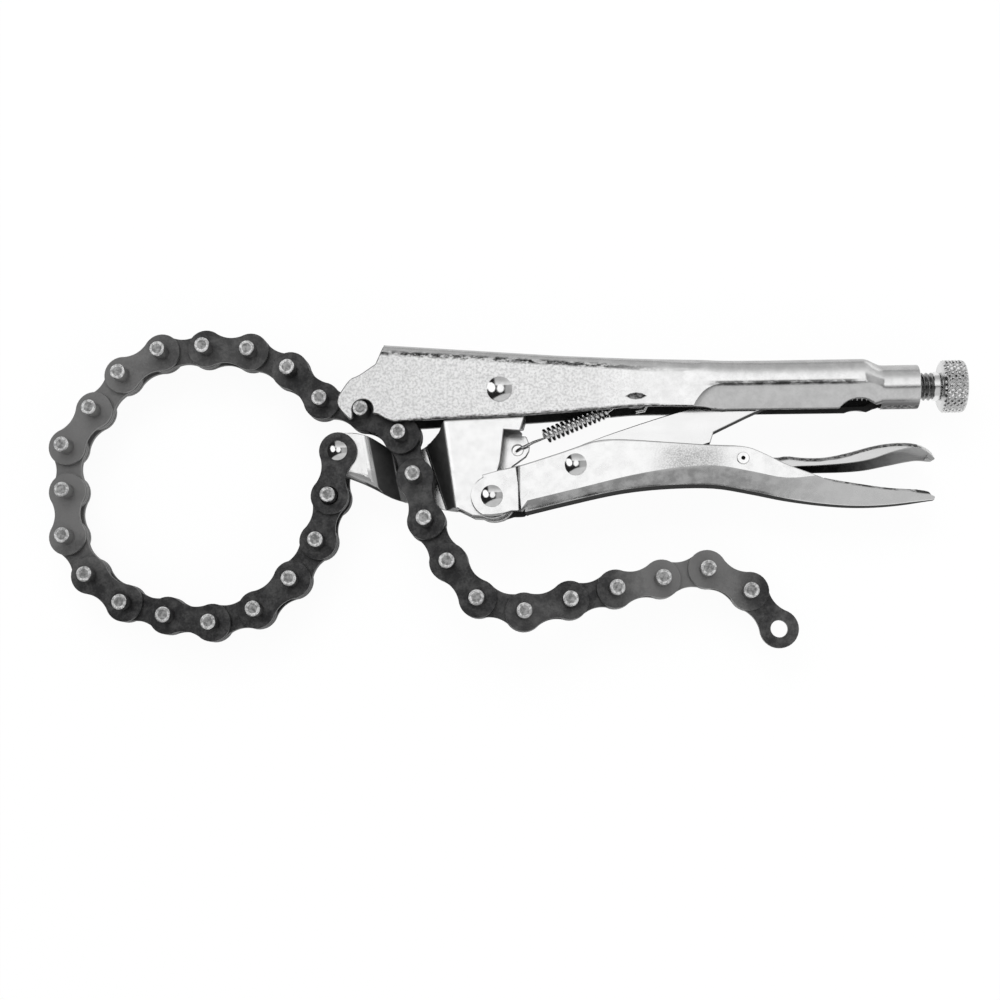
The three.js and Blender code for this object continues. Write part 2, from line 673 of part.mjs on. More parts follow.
// Chain route: pins 1 to 20 close the loop from the jaw's nose to the notch
const radians = THREE.MathUtils.degToRad;
const liftOf = (pin) => {
  const run = pin < liftPeakPin ? liftRunUp : liftRunOut;
  const away = Math.min(1, Math.abs(pin - liftPeakPin) / run);
  return tailLift * Math.cos(Math.PI / 2 * away) ** 2;
};

const walk = (start, firstPin, headings) => {
  const pins = [new THREE.Vector3(start[0], start[1], liftOf(firstPin))];
  headings.forEach((heading, i) => {
    const from = pins[i];
    const height = liftOf(firstPin + i + 1);
    const step = Math.sqrt(pitch * pitch - (height - from.z) ** 2);
    pins.push(new THREE.Vector3(from.x + step * Math.cos(heading), from.y + step * Math.sin(heading), height));
  });
  return pins;
};

// Each link turns a little, in proportion to its own push on the end, until the last pin is in the seat.
const closeLoop = () => {
  let headings = loopHeadings.map(radians);
  for (let round = 0; round < 12; round += 1) {
    const pins = walk(anchor, 1, headings);
    const end = pins[pins.length - 1];
    const missX = seat[0] - end.x;
    const missY = seat[1] - end.y;
    const pushes = headings.map((heading) => [-pitch * Math.sin(heading), pitch * Math.cos(heading)]);
    const sum = (f) => pushes.reduce((total, push) => total + f(push), 0);
    const xx = sum(([x]) => x * x);
    const xy = sum(([x, y]) => x * y);
    const yy = sum(([, y]) => y * y);
    const whole = xx * yy - xy * xy;
    const a = (yy * missX - xy * missY) / whole;
    const b = (xx * missY - xy * missX) / whole;
    headings = headings.map((heading, i) => heading + a * pushes[i][0] + b * pushes[i][1]);
  }
  return walk(anchor, 1, headings);
};

const loopPins = closeLoop();
const tailPins = walk(seat, loopPins.length, tailHeadings.map(radians));
const chainPins = [...loopPins.slice(0, -1), ...tailPins];

const plateOutline = () => {
  const waistSteps = 5;
  const side = Array.from({ length: waistSteps + 1 }, (_, i) => {
    const t = i / waistSteps;
    const dip = Math.cos(Math.PI * (t - 0.5));
    const edge = plateEndRadius * Math.sin(radians(62));
    const start = plateEndRadius * Math.cos(radians(62));
    return [start + (pitch - 2 * start) * t, edge + (plateWaist - edge) * dip ** 0.8];
  });
  return [
    ...arc([0, 0], plateEndRadius, 70, 290, 8),
    ...side.map(([x, y]) => [x, -y]),
    ...arc([pitch, 0], plateEndRadius, -110, 110, 8),
    ...side.reverse(),
  ].filter(([x, y], i, all) => i === 0 || Math.hypot(x - all[i - 1][0], y - all[i - 1][1]) > clearance);
};

const pinEnds = [0, pitch];
const linkPin = (x) => alongZ(turned([
  [pinRadius - pinChamfer, -pinHalfLength],
  [pinRadius, -pinHalfLength + pinChamfer],
  [pinRadius, pinHalfLength - pinChamfer],
  [pinRadius - pinChamfer, pinHalfLength],
], pinSides)).translate([x, 0, 0]);

const outerLink = () => {
  const plate = plateOutline();
  const inner = outerLinkHalf - plateSheet;
  return joined([
    slab(plate, inner, outerLinkHalf),
    slab(plate, -outerLinkHalf, -inner),
    ...pinEnds.map(linkPin),
  ]);
};

const pierced = (plate, low, high, firstRadius, secondRadius) => slab(plate, low, high)
  .subtract(drum([0, 0], firstRadius, low - overrun, high + overrun, pinSides))
  .subtract(drum([pitch, 0], secondRadius, low - overrun, high + overrun, pinSides));

const pinHole = (pinRadius + pinGap) / Math.cos(Math.PI / pinSides);
const innerLink = () => pierced(plateOutline(), -innerWidth / 2, innerWidth / 2, pinHole, pinHole);
const seatHole = (pinRadius + seatGap) / Math.cos(Math.PI / pinSides);
const seatLink = () => pierced(plateOutline(), -innerWidth / 2, innerWidth / 2, pinHole, seatHole);
const lastLink = () => pierced(plateOutline(), -innerWidth / 2, innerWidth / 2, pinHole, eyeRadius);

const endPlate = (sign) => {
  const low = outerLinkHalf + endLinkGap;
  const bounds = [low, low + plateSheet].map((z) => z * sign).sort((a, b) => a - b);
  return pierced(plateOutline(), bounds[0], bounds[1], anchorRadius + clearance, pinHole);
};

// The parts as named meshes
const steel = (name, color, metalness, roughness) =>
  new THREE.MeshStandardMaterial({ name, color, metalness, roughness });
const finish = {
  nickel: steel('nickel_plated_steel', 0xb9bcc0, 0.9, 0.35),
  blackened: steel('blackened_steel', 0x3b3c3f, 0.8, 0.5),
  bright: steel('bright_steel', 0xd4d6d9, 0.95, 0.2),
};

const clamp = new THREE.Group();
clamp.name = 'locking_chain_clamp';
const body = new THREE.Group();
body.position.set(0, 0, restHeight);
clamp.add(body);

const addPart = (name, manifold, material) => {
  const mesh = new THREE.Mesh(geometryOf(manifold), material);
  mesh.name = name;
  body.add(mesh);
  return mesh;
};

const placeLink = (mesh, from, to) => {
  const along = to.clone().sub(from).normalize();
  const up = new THREE.Vector3(0, 0, 1).addScaledVector(along, -along.z).normalize();
  const across = up.clone().cross(along);
  mesh.quaternion.setFromRotationMatrix(new THREE.Matrix4().makeBasis(along, across, up));
  mesh.position.copy(from);
};

addPart('upper_handle', upperHandle(), finish.nickel);
addPart('adjusting_screw', screwShank(), finish.nickel);
addPart('adjusting_knob', knob(), finish.nickel);
addPart('main_rivet', rivet([0, 0], mainRivetRadius, mainHeadRadius, handleHalfWidth), finish.bright);
addPart('jaw', jaw(), finish.nickel);
addPart('handle_rivet', rivet(jawRivet, rivetRadius, rivetHeadRadius, earHalfWidth), finish.bright);
addPart('lower_handle', lowerHandle(), finish.nickel);
addPart('toggle_rivet', rivet(toggleRivet, rivetRadius, rivetHeadRadius, gripHalfWidth), finish.bright);
addPart('toggle_link', toggleLink(), finish.nickel);
addPart('release_lever', releaseLever(), finish.nickel);
addPart('lever_pin', rivet(leverPin, leverPinRadius, leverHeadRadius, gripHalfWidth), finish.bright);
addPart('return_spring', returnSpring(), finish.bright);
const anchorFace = outerLinkHalf + endLinkGap + plateSheet;
addPart('anchor_rivet', rivet(anchor, anchorRadius, anchorHeadRadius, anchorFace), finish.bright);

const linkName = (number) => `link_${String(number).padStart(2, '0')}`;
[['near', 1], ['far', -1]].forEach(([name, sign]) => {
  const mesh = addPart(`${linkName(1)}_${name}`, endPlate(sign), finish.blackened);
  placeLink(mesh, chainPins[0], chainPins[1]);
});

const outer = outerLink();
const inner = innerLink();
const last = lastLink();
const lastNumber = chainPins.length - 1;
const seatNumber = loopPins.length - 1;
const special = { [seatNumber]: seatLink(), [lastNumber]: last };
for (let number = 2; number <= lastNumber; number += 1) {
  const made = special[number] ?? (number % 2 === 0 ? outer : inner);
  const mesh = addPart(linkName(number), made, finish.blackened);
  placeLink(mesh, chainPins[number - 1], chainPins[number]);
}

console.log(`return spring: least gap to itself ${springGap().toFixed(2)} mm`);

export default clamp;
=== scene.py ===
"""Looks of the locking chain clamp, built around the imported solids.

Pieces are drawn in millimetres from the clamp's middle plane, and settled into the frame in metres.
X runs along the handles towards the knob, Y across them, Z up from the table.
"""

import math

import bpy
from mathutils import Matrix, Vector


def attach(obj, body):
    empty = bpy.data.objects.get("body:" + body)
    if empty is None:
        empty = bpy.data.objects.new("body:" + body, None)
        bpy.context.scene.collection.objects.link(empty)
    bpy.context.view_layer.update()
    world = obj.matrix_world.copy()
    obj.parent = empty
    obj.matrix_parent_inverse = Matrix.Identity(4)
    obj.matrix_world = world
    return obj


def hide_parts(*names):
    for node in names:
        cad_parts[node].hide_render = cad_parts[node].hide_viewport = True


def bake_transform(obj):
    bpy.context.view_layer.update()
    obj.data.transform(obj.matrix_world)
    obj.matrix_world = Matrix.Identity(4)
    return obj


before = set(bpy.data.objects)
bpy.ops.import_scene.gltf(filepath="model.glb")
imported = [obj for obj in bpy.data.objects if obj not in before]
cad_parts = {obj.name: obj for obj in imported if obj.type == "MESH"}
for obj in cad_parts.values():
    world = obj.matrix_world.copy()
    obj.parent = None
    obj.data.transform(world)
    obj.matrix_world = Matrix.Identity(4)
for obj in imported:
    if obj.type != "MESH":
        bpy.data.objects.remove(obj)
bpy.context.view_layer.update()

MM = 0.001
MIDDLE = 10.3
OVERRUN = 4.0


# Modelling helpers


def deselect_all():
    if bpy.context.mode != "OBJECT":
        bpy.ops.object.mode_set(mode="OBJECT")
    bpy.ops.object.select_all(action="DESELECT")


def pick_piece(piece):
    deselect_all()
    piece.select_set(True)
    bpy.context.view_layer.objects.active = piece


def named(name):
    piece = bpy.context.object
    piece.name = name
    piece.data.name = name
    return piece


def pick(piece, kind, test):
    """Opens the piece in edit mode with the points, edges or faces that pass the test selected."""
    pick_piece(piece)
    mesh = piece.data
    bpy.context.tool_settings.mesh_select_mode = (kind == "POINT", kind == "EDGE", kind == "FACE")
    for part in (*mesh.vertices, *mesh.edges, *mesh.polygons):
        part.select = False
    if kind == "POINT":
        for v in mesh.vertices:
            v.select = test(v.co)
    if kind == "EDGE":
        for e in mesh.edges:
            a, b = (mesh.vertices[i].co for i in e.vertices)
            e.select = test(a, b)
    if kind == "FACE":
        for f in mesh.polygons:
            f.select = test(f.center, f.normal)
    bpy.ops.object.mode_set(mode="EDIT")


def close_up(piece, merge=0.0):
    """Leaves edit mode with the doubles merged and the faces pointing out."""
    pick_piece(piece)
    bpy.ops.object.mode_set(mode="EDIT")
    bpy.ops.mesh.select_all(action="SELECT")
    if merge:
        bpy.ops.mesh.remove_doubles(threshold=merge)
    bpy.ops.mesh.normals_make_consistent(inside=False)
    bpy.ops.object.mode_set(mode="OBJECT")
    return piece


def plate(name, outline, low, high):
    """A flat plate: a disc primitive set to the outline in X and Y, and pulled up to its thickness."""
    deselect_all()
    bpy.ops.mesh.primitive_circle_add(vertices=len(outline), radius=1, fill_type="NGON")
    piece = named(name)
    for v, (x, y) in zip(piece.data.vertices, outline):
        v.co = (x, y, low)
    pick(piece, "FACE", lambda middle, normal: True)
    bpy.ops.mesh.extrude_region_move(TRANSFORM_OT_translate={"value": (0, 0, high - low)})
    return close_up(piece)


def turned(name, profile, sides):
    """A turned part on the Z axis: a disc pulled up and scaled along a profile of (radius, height)."""
    deselect_all()
    radius, height = profile[0]
    bpy.ops.mesh.primitive_circle_add(
        vertices=sides, radius=radius, fill_type="NGON", location=(0, 0, height))
    piece = named(name)
    bpy.ops.object.transform_apply(location=True)
    pick(piece, "FACE", lambda middle, normal: True)
    for next_radius, next_height in profile[1:]:
        bpy.ops.mesh.extrude_region_move(
            TRANSFORM_OT_translate={"value": (0, 0, next_height - height)})
        share = next_radius / radius
        bpy.ops.transform.resize(value=(share, share, 1), center_override=(0, 0, next_height))
        radius, height = next_radius, next_height
    return close_up(piece)


def sheet_through(name, rows, closed):
    """A bare sheet: a grid primitive set to rows of points. A closed one has its seam merged."""
    deselect_all()
    long, short = len(rows), len(rows[0])
    bpy.ops.mesh.primitive_grid_add(x_subdivisions=short - 1, y_subdivisions=long - 1, size=2)
    piece = named(name)
    for j, row in enumerate(rows):
        for i, point in enumerate(row):
            piece.data.vertices[j * short + i].co = point
    return close_up(piece, merge=0.002 if closed else 0.0)


def add_wall(piece, thickness):
    pick_piece(piece)
    wall = piece.modifiers.new("Wall", "SOLIDIFY")
    wall.thickness = thickness
    wall.offset = -1
    wall.use_even_offset = True
    bpy.ops.object.modifier_apply(modifier=wall.name)
    return piece


def solid_through(name, rows):
    """A solid through closed rings, with both ends filled."""
    piece = sheet_through(name, rows, closed=True)
    pick(piece, "POINT", lambda point: True)
    bpy.ops.mesh.fill_holes(sides=0)
    return close_up(piece)


def combine(piece, other, operation):
    """Cuts, keeps or joins with another solid, which is used up."""
    pick_piece(piece)
    cut = piece.modifiers.new("Cut", "BOOLEAN")
    cut.operation = operation
    cut.solver = "EXACT"
    cut.object = other
    bpy.ops.object.modifier_apply(modifier=cut.name)
    bpy.data.objects.remove(other)
    return piece


def drill(piece, centre, radius, low, high, sides=32):
    tool = turned("drill", [(radius, low), (radius, high)], sides)
    place(tool, centre)
    return combine(piece, tool, "DIFFERENCE")


def place(piece, centre, height=0.0):
    pick_piece(piece)
    piece.location = (centre[0], centre[1], height)
    bpy.ops.object.transform_apply(location=True)
    return piece


def lay_along_x(piece, rise):
    """Turns a part made on the Z axis to the X axis, at a height in Y."""
    pick_piece(piece)
    piece.data.transform(Matrix(((0, 0, 1, 0), (1, 0, 0, rise), (0, 1, 0, 0), (0, 0, 0, 1))))
    return close_up(piece)


def clear_splinters(piece, size):
    """Merges the splinters that cuts leave, and clears the lines that they leave on flat faces."""
    close_up(piece, merge=size)
    bpy.ops.object.mode_set(mode="EDIT")
    bpy.ops.mesh.select_all(action="SELECT")
    bpy.ops.mesh.dissolve_limited(angle_limit=math.radians(0.5))
    bpy.ops.object.mode_set(mode="OBJECT")
    return piece


def weigh_edges(piece, sharp):
    """Gives the outer sharp edges a bevel weight. The inner corners of a fold stay as they are."""
    mesh = piece.data
    sides = {}
    for f in mesh.polygons:
        for key in f.edge_keys:
            sides.setdefault(key, []).append(f)
    weights = mesh.attributes.new("bevel_weight_edge", "FLOAT", "EDGE")
    for edge in mesh.edges:
        faces = sides.get(edge.key, ())
        if len(faces) == 2:
            one, two = faces
            outer = (two.center - one.center).dot(one.normal) < 0
            if outer and one.normal.angle(two.normal) > math.radians(sharp):
                weights.data[edge.index].value = 1.0


def break_edges(piece, width, sharp=40):
    """A small round along the sharp edges, as tumbling and plating leave it."""
    clear_splinters(piece, width / 3)
    weigh_edges(piece, sharp)
    soften = piece.modifiers.new("Edge", "BEVEL")
    soften.width = width
    soften.segments = 2
    soften.limit_method = "WEIGHT"
    soften.use_clamp_overlap = False
    soften.face_strength_mode = "FSTR_NEW"
    bpy.ops.object.modifier_apply(modifier=soften.name)
    return piece


def close_gaps(piece):
    """Draws together the small gaps that are left where rounded edges meet in a fold."""
    pick_piece(piece)
    bpy.ops.object.mode_set(mode="EDIT")
    bpy.ops.mesh.select_mode(type="VERT")
    bpy.ops.mesh.select_all(action="DESELECT")
    bpy.ops.mesh.select_non_manifold()
    bpy.ops.mesh.merge(type="COLLAPSE")
    bpy.ops.object.mode_set(mode="OBJECT")
    return piece


def smooth(piece, degrees=30):
    """Smooth shading over the rounds, while the large flat faces stay flat."""
    pick_piece(piece)
    bpy.ops.object.shade_smooth_by_angle(angle=math.radians(degrees))
    mesh = piece.data
    for f in mesh.polygons:
        if abs(f.normal.z) > 0.9995 and f.area > 2:
            for i in f.loop_indices:
                mesh.edges[mesh.loops[i].edge_index].use_edge_sharp = True
    even = piece.modifiers.new("Even", "WEIGHTED_NORMAL")
    even.mode = "FACE_AREA"
    even.weight = 100
    even.keep_sharp = True
    even.use_face_influence = True
    bpy.ops.object.modifier_apply(modifier=even.name)
    return piece


def join(pieces, name):
    deselect_all()
    for piece in pieces:
        piece.select_set(True)
    bpy.context.view_layer.objects.active = pieces[0]
    bpy.ops.object.join()
    return named(name)


def settle(piece, body, nodes, material, lift=MIDDLE, inside=None, cut_edge_and_shade=None, shade=None):
    """Brings a finished piece from millimetres into the frame, and hangs it on its body.

    Faces that pass the inside test get painted shade, the near-black steel of a fold's inner side, and
    those that pass the other test the darker steel of a cut edge, which also stands as painted
    shade on folds and undersides. Both tests take a face's centre and normal.
    """
    kinds = [1 if inside and inside(f.center, f.normal) else
             2 if cut_edge_and_shade and cut_edge_and_shade(f.center, f.normal) else 0 for f in piece.data.polygons]
    if lift is not None:
        piece.data.transform(Matrix.Scale(MM, 4) @ Matrix.Translation((0, 0, lift)))
    if material is not None:
        piece.data.materials.clear()
        piece.data.materials.append(material)
    if inside or cut_edge_and_shade:
        piece.data.materials.append(shade or SHADED_STEEL)
        piece.data.materials.append(CUT_EDGE_AND_SHADE)
        for f, kind in zip(piece.data.polygons, kinds):
            f.material_index = kind
    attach(piece, body)
    if nodes:
        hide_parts(*nodes)
    return piece


def inward(spot, facing):
    """Whether a face of a fold about the middle plane looks into the fold."""
    return facing.z * spot.z < -0.3


# Curves


def through(points, steps=4):
    """A smooth line through the points, with the ends kept."""
    rail = [Vector(p) for p in points]
    rail = [2 * rail[0] - rail[1], *rail, 2 * rail[-1] - rail[-2]]
    line = []
    for i in range(1, len(rail) - 2):
        a, b, c, d = rail[i - 1:i + 3]
        for k in range(steps):
            t = k / steps
            line.append(0.5 * (2 * b + (c - a) * t + (2 * a - 5 * b + 4 * c - d) * t * t
                               + (3 * b - a - 3 * c + d) * t ** 3))
    line.append(rail[-2])
    return [tuple(p) for p in line]


def arc(centre, radius, start, end, steps):
    angles = [math.radians(start + (end - start) * i / steps) for i in range(steps + 1)]
    return [(centre[0] + radius * math.cos(a), centre[1] + radius * math.sin(a)) for a in angles]


def height_at(line, x):
    """The height of a line of (x, y) points at one x."""
    if x <= line[0][0]:
        return line[0][1]
    for (x0, y0), (x1, y1) in zip(line, line[1:]):
        if x <= x1:
            return y0 + (y1 - y0) * (x - x0) / (x1 - x0)
    return line[-1][1]


def ease(x, start, end):
    """0 on the side of start, 1 on the side of end, and smooth between them."""
    t = min(1.0, max(0.0, (x - start) / (end - start)))
    return t * t * (3 - 2 * t)


def mix(a, b, t):
    return a + (b - a) * t


def corner(width, height, tilt, steps):
    """A folded corner: how far in and how far along it is, from a crease that already leans by tilt."""
    lean = math.radians(tilt)
    found = []
    for i in range(steps + 1):
        a = lean + (math.pi / 2 - lean) * i / steps
        inward = width * (math.cos(lean) - math.cos(a)) / math.cos(lean)
        along = height * (math.sin(a) - math.sin(lean)) / (1 - math.sin(lean))
        found.append((inward, along))
    return found


ROLL = [(0, 0), (0.06, 0.12), (0.2, 0.33), (0.4, 0.56), (0.58, 0.75), (0.72, 0.87), (0.84, 0.95),
        (0.93, 0.988), (1, 1)]


def rolled_edge(width, height, roundness):
    """A wide, nearly flat facet that curls in at its foot, or a plain round: how far in and along."""
    flat = [(width * a, height * b) for a, b in through(ROLL, 2)]
    plain = corner(width, height, 0, len(flat) - 1)
    return [(mix(a, c, roundness), mix(b, d, roundness)) for (a, b), (c, d) in zip(flat, plain)]


def channel_ring(x, half, top, bottom, top_fold, bottom_fold, inset=0.0, steps=12, roundness=0.0):
    """A closed ring round a folded channel at one x, from the middle of its underside.

    The top fold is its width, its height and how far its crease already leans; the bottom one is
    its width and its height.
    """
    half, top, bottom = half - inset, top - inset, bottom + inset
    least = 0.25
    upper = corner(max(least, top_fold[0] - inset), max(least, top_fold[1] - inset),
                   top_fold[2], steps)
    lower = rolled_edge(max(least, bottom_fold[0] - inset), max(least, bottom_fold[1] - inset),
                        roundness)
    near = [(half - inward, bottom + lower[-1][1] - along) for inward, along in lower]
    near = near[::-1] + [(half - inward, top - upper[-1][1] + along) for inward, along in upper]
    ring = [(0.0, bottom), *near, (0.0, top), *[(-z, y) for z, y in near[::-1]], (0.0, bottom)]
    return [(x, y, z) for z, y in ring]


# Materials

FLANGE_CREASE = 0.9


class Finish:
    """A procedural finish: the nodes of one material, with short calls for the ones it uses."""

    def __init__(self, name, colour, metallic, roughness):
        self.material = bpy.data.materials.new(name)
        self.material.use_nodes = True
        self.nodes = self.material.node_tree.nodes
        self.links = self.material.node_tree.links
        self.shader = self.nodes["Principled BSDF"]
        self.shader.inputs["Base Color"].default_value = (*colour, 1)
        self.shader.inputs["Metallic"].default_value = metallic
        self.shader.inputs["Roughness"].default_value = roughness
        self.place = self.nodes.new("ShaderNodeTexCoord").outputs["Object"]

    def stretch(self, scale):
        mapping = self.nodes.new("ShaderNodeMapping")
        mapping.inputs["Scale"].default_value = scale
        self.links.new(self.place, mapping.inputs["Vector"])
        return mapping.outputs["Vector"]

    def noise(self, scale, detail=3.0, rough=0.5, stretch=None):
        node = self.nodes.new("ShaderNodeTexNoise")
        node.inputs["Scale"].default_value = scale
        node.inputs["Detail"].default_value = detail
        node.inputs["Roughness"].default_value = rough
        self.links.new(self.stretch(stretch) if stretch else self.place, node.inputs["Vector"])
        return node.outputs["Fac"]

    def pits(self, scale, feature="F1"):
        node = self.nodes.new("ShaderNodeTexVoronoi")
        node.feature = feature
        node.inputs["Scale"].default_value = scale
        self.links.new(self.place, node.inputs["Vector"])
        return node.outputs["Distance"]

    def ranged(self, value, low, high, to_low, to_high, kind="SMOOTHSTEP"):
        node = self.nodes.new("ShaderNodeMapRange")
        node.interpolation_type = kind
        for name, number in (("From Min", low), ("From Max", high),
                             ("To Min", to_low), ("To Max", to_high)):
            node.inputs[name].default_value = number
        self.links.new(value, node.inputs["Value"])
        return node.outputs["Result"]

    def sum(self, kind, a, b):
        node = self.nodes.new("ShaderNodeMath")
        node.operation = kind
        for value, slot in ((a, node.inputs[0]), (b, node.inputs[1])):
            if isinstance(value, (int, float)):
                slot.default_value = value
            else:
                self.links.new(value, slot)
        return node.outputs["Value"]

    def line_at(self, value, points):
        """The height of a broken line of (value, height) points, in millimetres."""
        height = points[0][1] * MM
        for (start, low), (end, high) in zip(points, points[1:]):
            step = self.ranged(value, start * MM, end * MM, 0, (high - low) * MM, "LINEAR")
            height = self.sum("ADD", height, step)
        return height

    def axis(self, name, source=None):
        node = self.nodes.new("ShaderNodeSeparateXYZ")
        self.links.new(source or self.place, node.inputs["Vector"])
        return node.outputs[name]

    def facing(self, name):
        geometry = self.nodes.new("ShaderNodeNewGeometry")
        return self.axis(name, geometry.outputs["Normal"])

    def tint(self, value, dark, light):
        node = self.nodes.new("ShaderNodeMix")
        node.data_type = "RGBA"
        node.inputs["A"].default_value = (*dark, 1)
        node.inputs["B"].default_value = (*light, 1)
        self.links.new(value, node.inputs["Factor"])
        colour = next(o for o in node.outputs if o.type == "RGBA")
        self.links.new(colour, self.shader.inputs["Base Color"])
        return colour

    def roughened(self, value):
        self.links.new(value, self.shader.inputs["Roughness"])

    def dulled_for_shade(self, value):
        """Takes the metal's sheen away where the value is 1, so that painted shade stays dark and shows no
        reflection.
        """
        self.shader.inputs["Specular IOR Level"].default_value = 0.0
        self.links.new(self.sum("SUBTRACT", 1.0, value), self.shader.inputs["Metallic"])

    def bumped(self, value, depth, strength=1.0):
        node = self.nodes.new("ShaderNodeBump")
        node.inputs["Strength"].default_value = strength
        node.inputs["Distance"].default_value = depth
        self.links.new(value, node.inputs["Height"])
        self.links.new(node.outputs["Normal"], self.shader.inputs["Normal"])


def nickel(name, scratch=0.12, tone=0.84):
    """Smooth nickel plating over pressed steel: fine waviness, faint drawing lines, small pits."""
    f = Finish(name, (tone, tone, tone), 1.0, 0.2)
    cloud = f.noise(90, 3, 0.55)
    grain = f.noise(700, 2, 0.5)
    lines = f.noise(260, 2, 0.6, stretch=(0.12, 1, 1))
    f.tint(f.ranged(cloud, 0.35, 0.7, 0, 1), (tone * 0.95,) * 3, (tone * 1.05,) * 3)
    f.roughened(f.ranged(f.sum("ADD", cloud, f.sum("MULTIPLY", lines, 0.5)), 0.5, 1.0, 0.16, 0.26))
    wave = f.sum("ADD", f.sum("MULTIPLY", grain, scratch), f.sum("MULTIPLY", lines, scratch))
    f.bumped(wave, 0.00004)
    return f.material


def grip_nickel():
    """The plating of the lower handle: a smudge above its web, and painted shade on the web, on the faces
    that turn down, along the lower edge of the tail and along the top edge of the cheek.
    """
    f = Finish("grip_nickel", (0.86, 0.86, 0.86), 1.0, 0.2)
    x = f.axis("X")
    y = f.axis("Y")
    cloud = f.sum("MULTIPLY", f.ranged(x, 0.048, 0.062, 0, 1), f.ranged(x, 0.082, 0.068, 0, 1))
    cloud = f.sum("MULTIPLY", cloud, f.ranged(y, -0.0155, -0.024, 0, 1))
    flat = f.ranged(f.facing("Z"), 0.95, 0.995, 0, 1)
    speckle = f.ranged(f.noise(1700, 3, 0.65), 0.36, 0.64, 0.24, 0.56)
    specks = f.sum("MULTIPLY", f.sum("MULTIPLY", cloud, flat), speckle)
    # Painted shade: the web turns down and away from the light, so it is darker, less so towards the tail.
    web = f.sum("MULTIPLY", f.ranged(f.facing("Y"), -0.2, -0.42, 0, 1),
                f.ranged(x, 0.075, 0.12, 0.48, 0.1))
    web = f.sum("MULTIPLY", web, f.ranged(f.noise(240, 3, 0.6), 0.35, 0.65, 0.75, 1.25))
    # Painted shade on the faces that turn furthest down; there the metal also loses its sheen.
    foot = f.ranged(f.facing("Y"), -0.78, -0.93, 0, 1)
    # Painted shade along the lower edge of the tail, broken up by blots.
    run = f.sum("SUBTRACT", x, 0.109)
    bow = f.sum("MULTIPLY", f.sum("SUBTRACT", f.sum("MULTIPLY", run, 1.8), 0.19), run)
    rise = f.sum("SUBTRACT", f.sum("ADD", y, 0.0315), bow)
    edge = f.sum("MULTIPLY", f.ranged(rise, -0.0012, -0.0005, 0, 1), f.ranged(x, 0.106, 0.113, 0, 1))
    blots = f.ranged(f.noise(420, 4, 0.7, stretch=(0.4, 1, 1)), 0.42, 0.56, 0.25, 1)
    dark = f.sum("MAXIMUM", f.sum("MAXIMUM", web, foot), f.sum("MULTIPLY", edge, blots))
    # Painted shade along the top edge of the cheek, as far as the lever pin.
    brim = f.line_at(x, [(0.4, -27.8), (8.3, -25.9), (20.5, -22.1), (31.7, -18.4), (38.4, -17.7),
                         (47.6, -18.1), (68.7, -19.8), (82, -20.6)])
    brim_shade_line = f.ranged(f.sum("SUBTRACT", y, brim), -0.0007, -0.0003, 0, 0.4)
    brim_shade_line = f.sum("MULTIPLY", brim_shade_line, f.ranged(x, 0.084, 0.076, 0, 1))
    dark = f.sum("MAXIMUM", dark, f.sum("MULTIPLY", brim_shade_line, f.ranged(x, -0.001, 0.003, 0, 1)))
    f.tint(f.sum("MAXIMUM", specks, dark), (0.86, 0.86, 0.86), (0.05, 0.05, 0.05))
    f.dulled_for_shade(foot)
    f.roughened(f.ranged(f.noise(300, 3, 0.6), 0.3, 0.7, 0.18, 0.28))
    f.bumped(f.noise(700, 2, 0.5), 0.00001)
    return f.material


def neck_nickel():
    """The same plating, with painted shade on the steep walls of the neck, on the bend under the nose and on
    the faces that turn down, where the metal also loses its sheen.
    """
    f = Finish("neck_nickel", (0.84, 0.84, 0.84), 1.0, 0.2)
    x = f.axis("X")
    # Painted shade on the steep walls of the neck, a little uneven.
    steep = f.ranged(f.sum("ABSOLUTE", f.facing("Z"), 0.0), 0.93, 0.74, 0, 1)
    neck = f.sum("MULTIPLY", f.ranged(x, -0.05, -0.046, 0, 1), f.ranged(x, -0.009, -0.012, 0, 1))
    steep_wall_shade = f.sum("MULTIPLY", steep, neck)
    cloud = f.noise(300, 3, 0.6)
    wear_and_painted_shade = f.sum("SUBTRACT", steep_wall_shade, f.sum("MULTIPLY", cloud, 0.06))
    # Painted shade on the bend under the nose and on the faces that turn down, towards the nose.
    bend = f.sum("MULTIPLY", f.ranged(f.facing("Z"), 0.9998, 0.99, 0, 0.5),
                 f.ranged(f.axis("Y"), -0.0255, -0.0275, 0, 1))
    edge = f.ranged(f.facing("Y"), -0.6, -0.85, 0, 0.9)
    leaf_shade = f.sum("MULTIPLY", f.sum("MAXIMUM", bend, edge), f.ranged(x, -0.031, -0.034, 0, 1))
    wear_and_painted_shade = f.sum("MAXIMUM", wear_and_painted_shade, leaf_shade)
    f.dulled_for_shade(wear_and_painted_shade)
    f.tint(wear_and_painted_shade, (0.86, 0.86, 0.86), (0.025, 0.025, 0.025))
    f.roughened(f.ranged(cloud, 0.3, 0.7, 0.18, 0.26))
    f.bumped(f.noise(700, 2, 0.5), 0.00001)
    return f.material


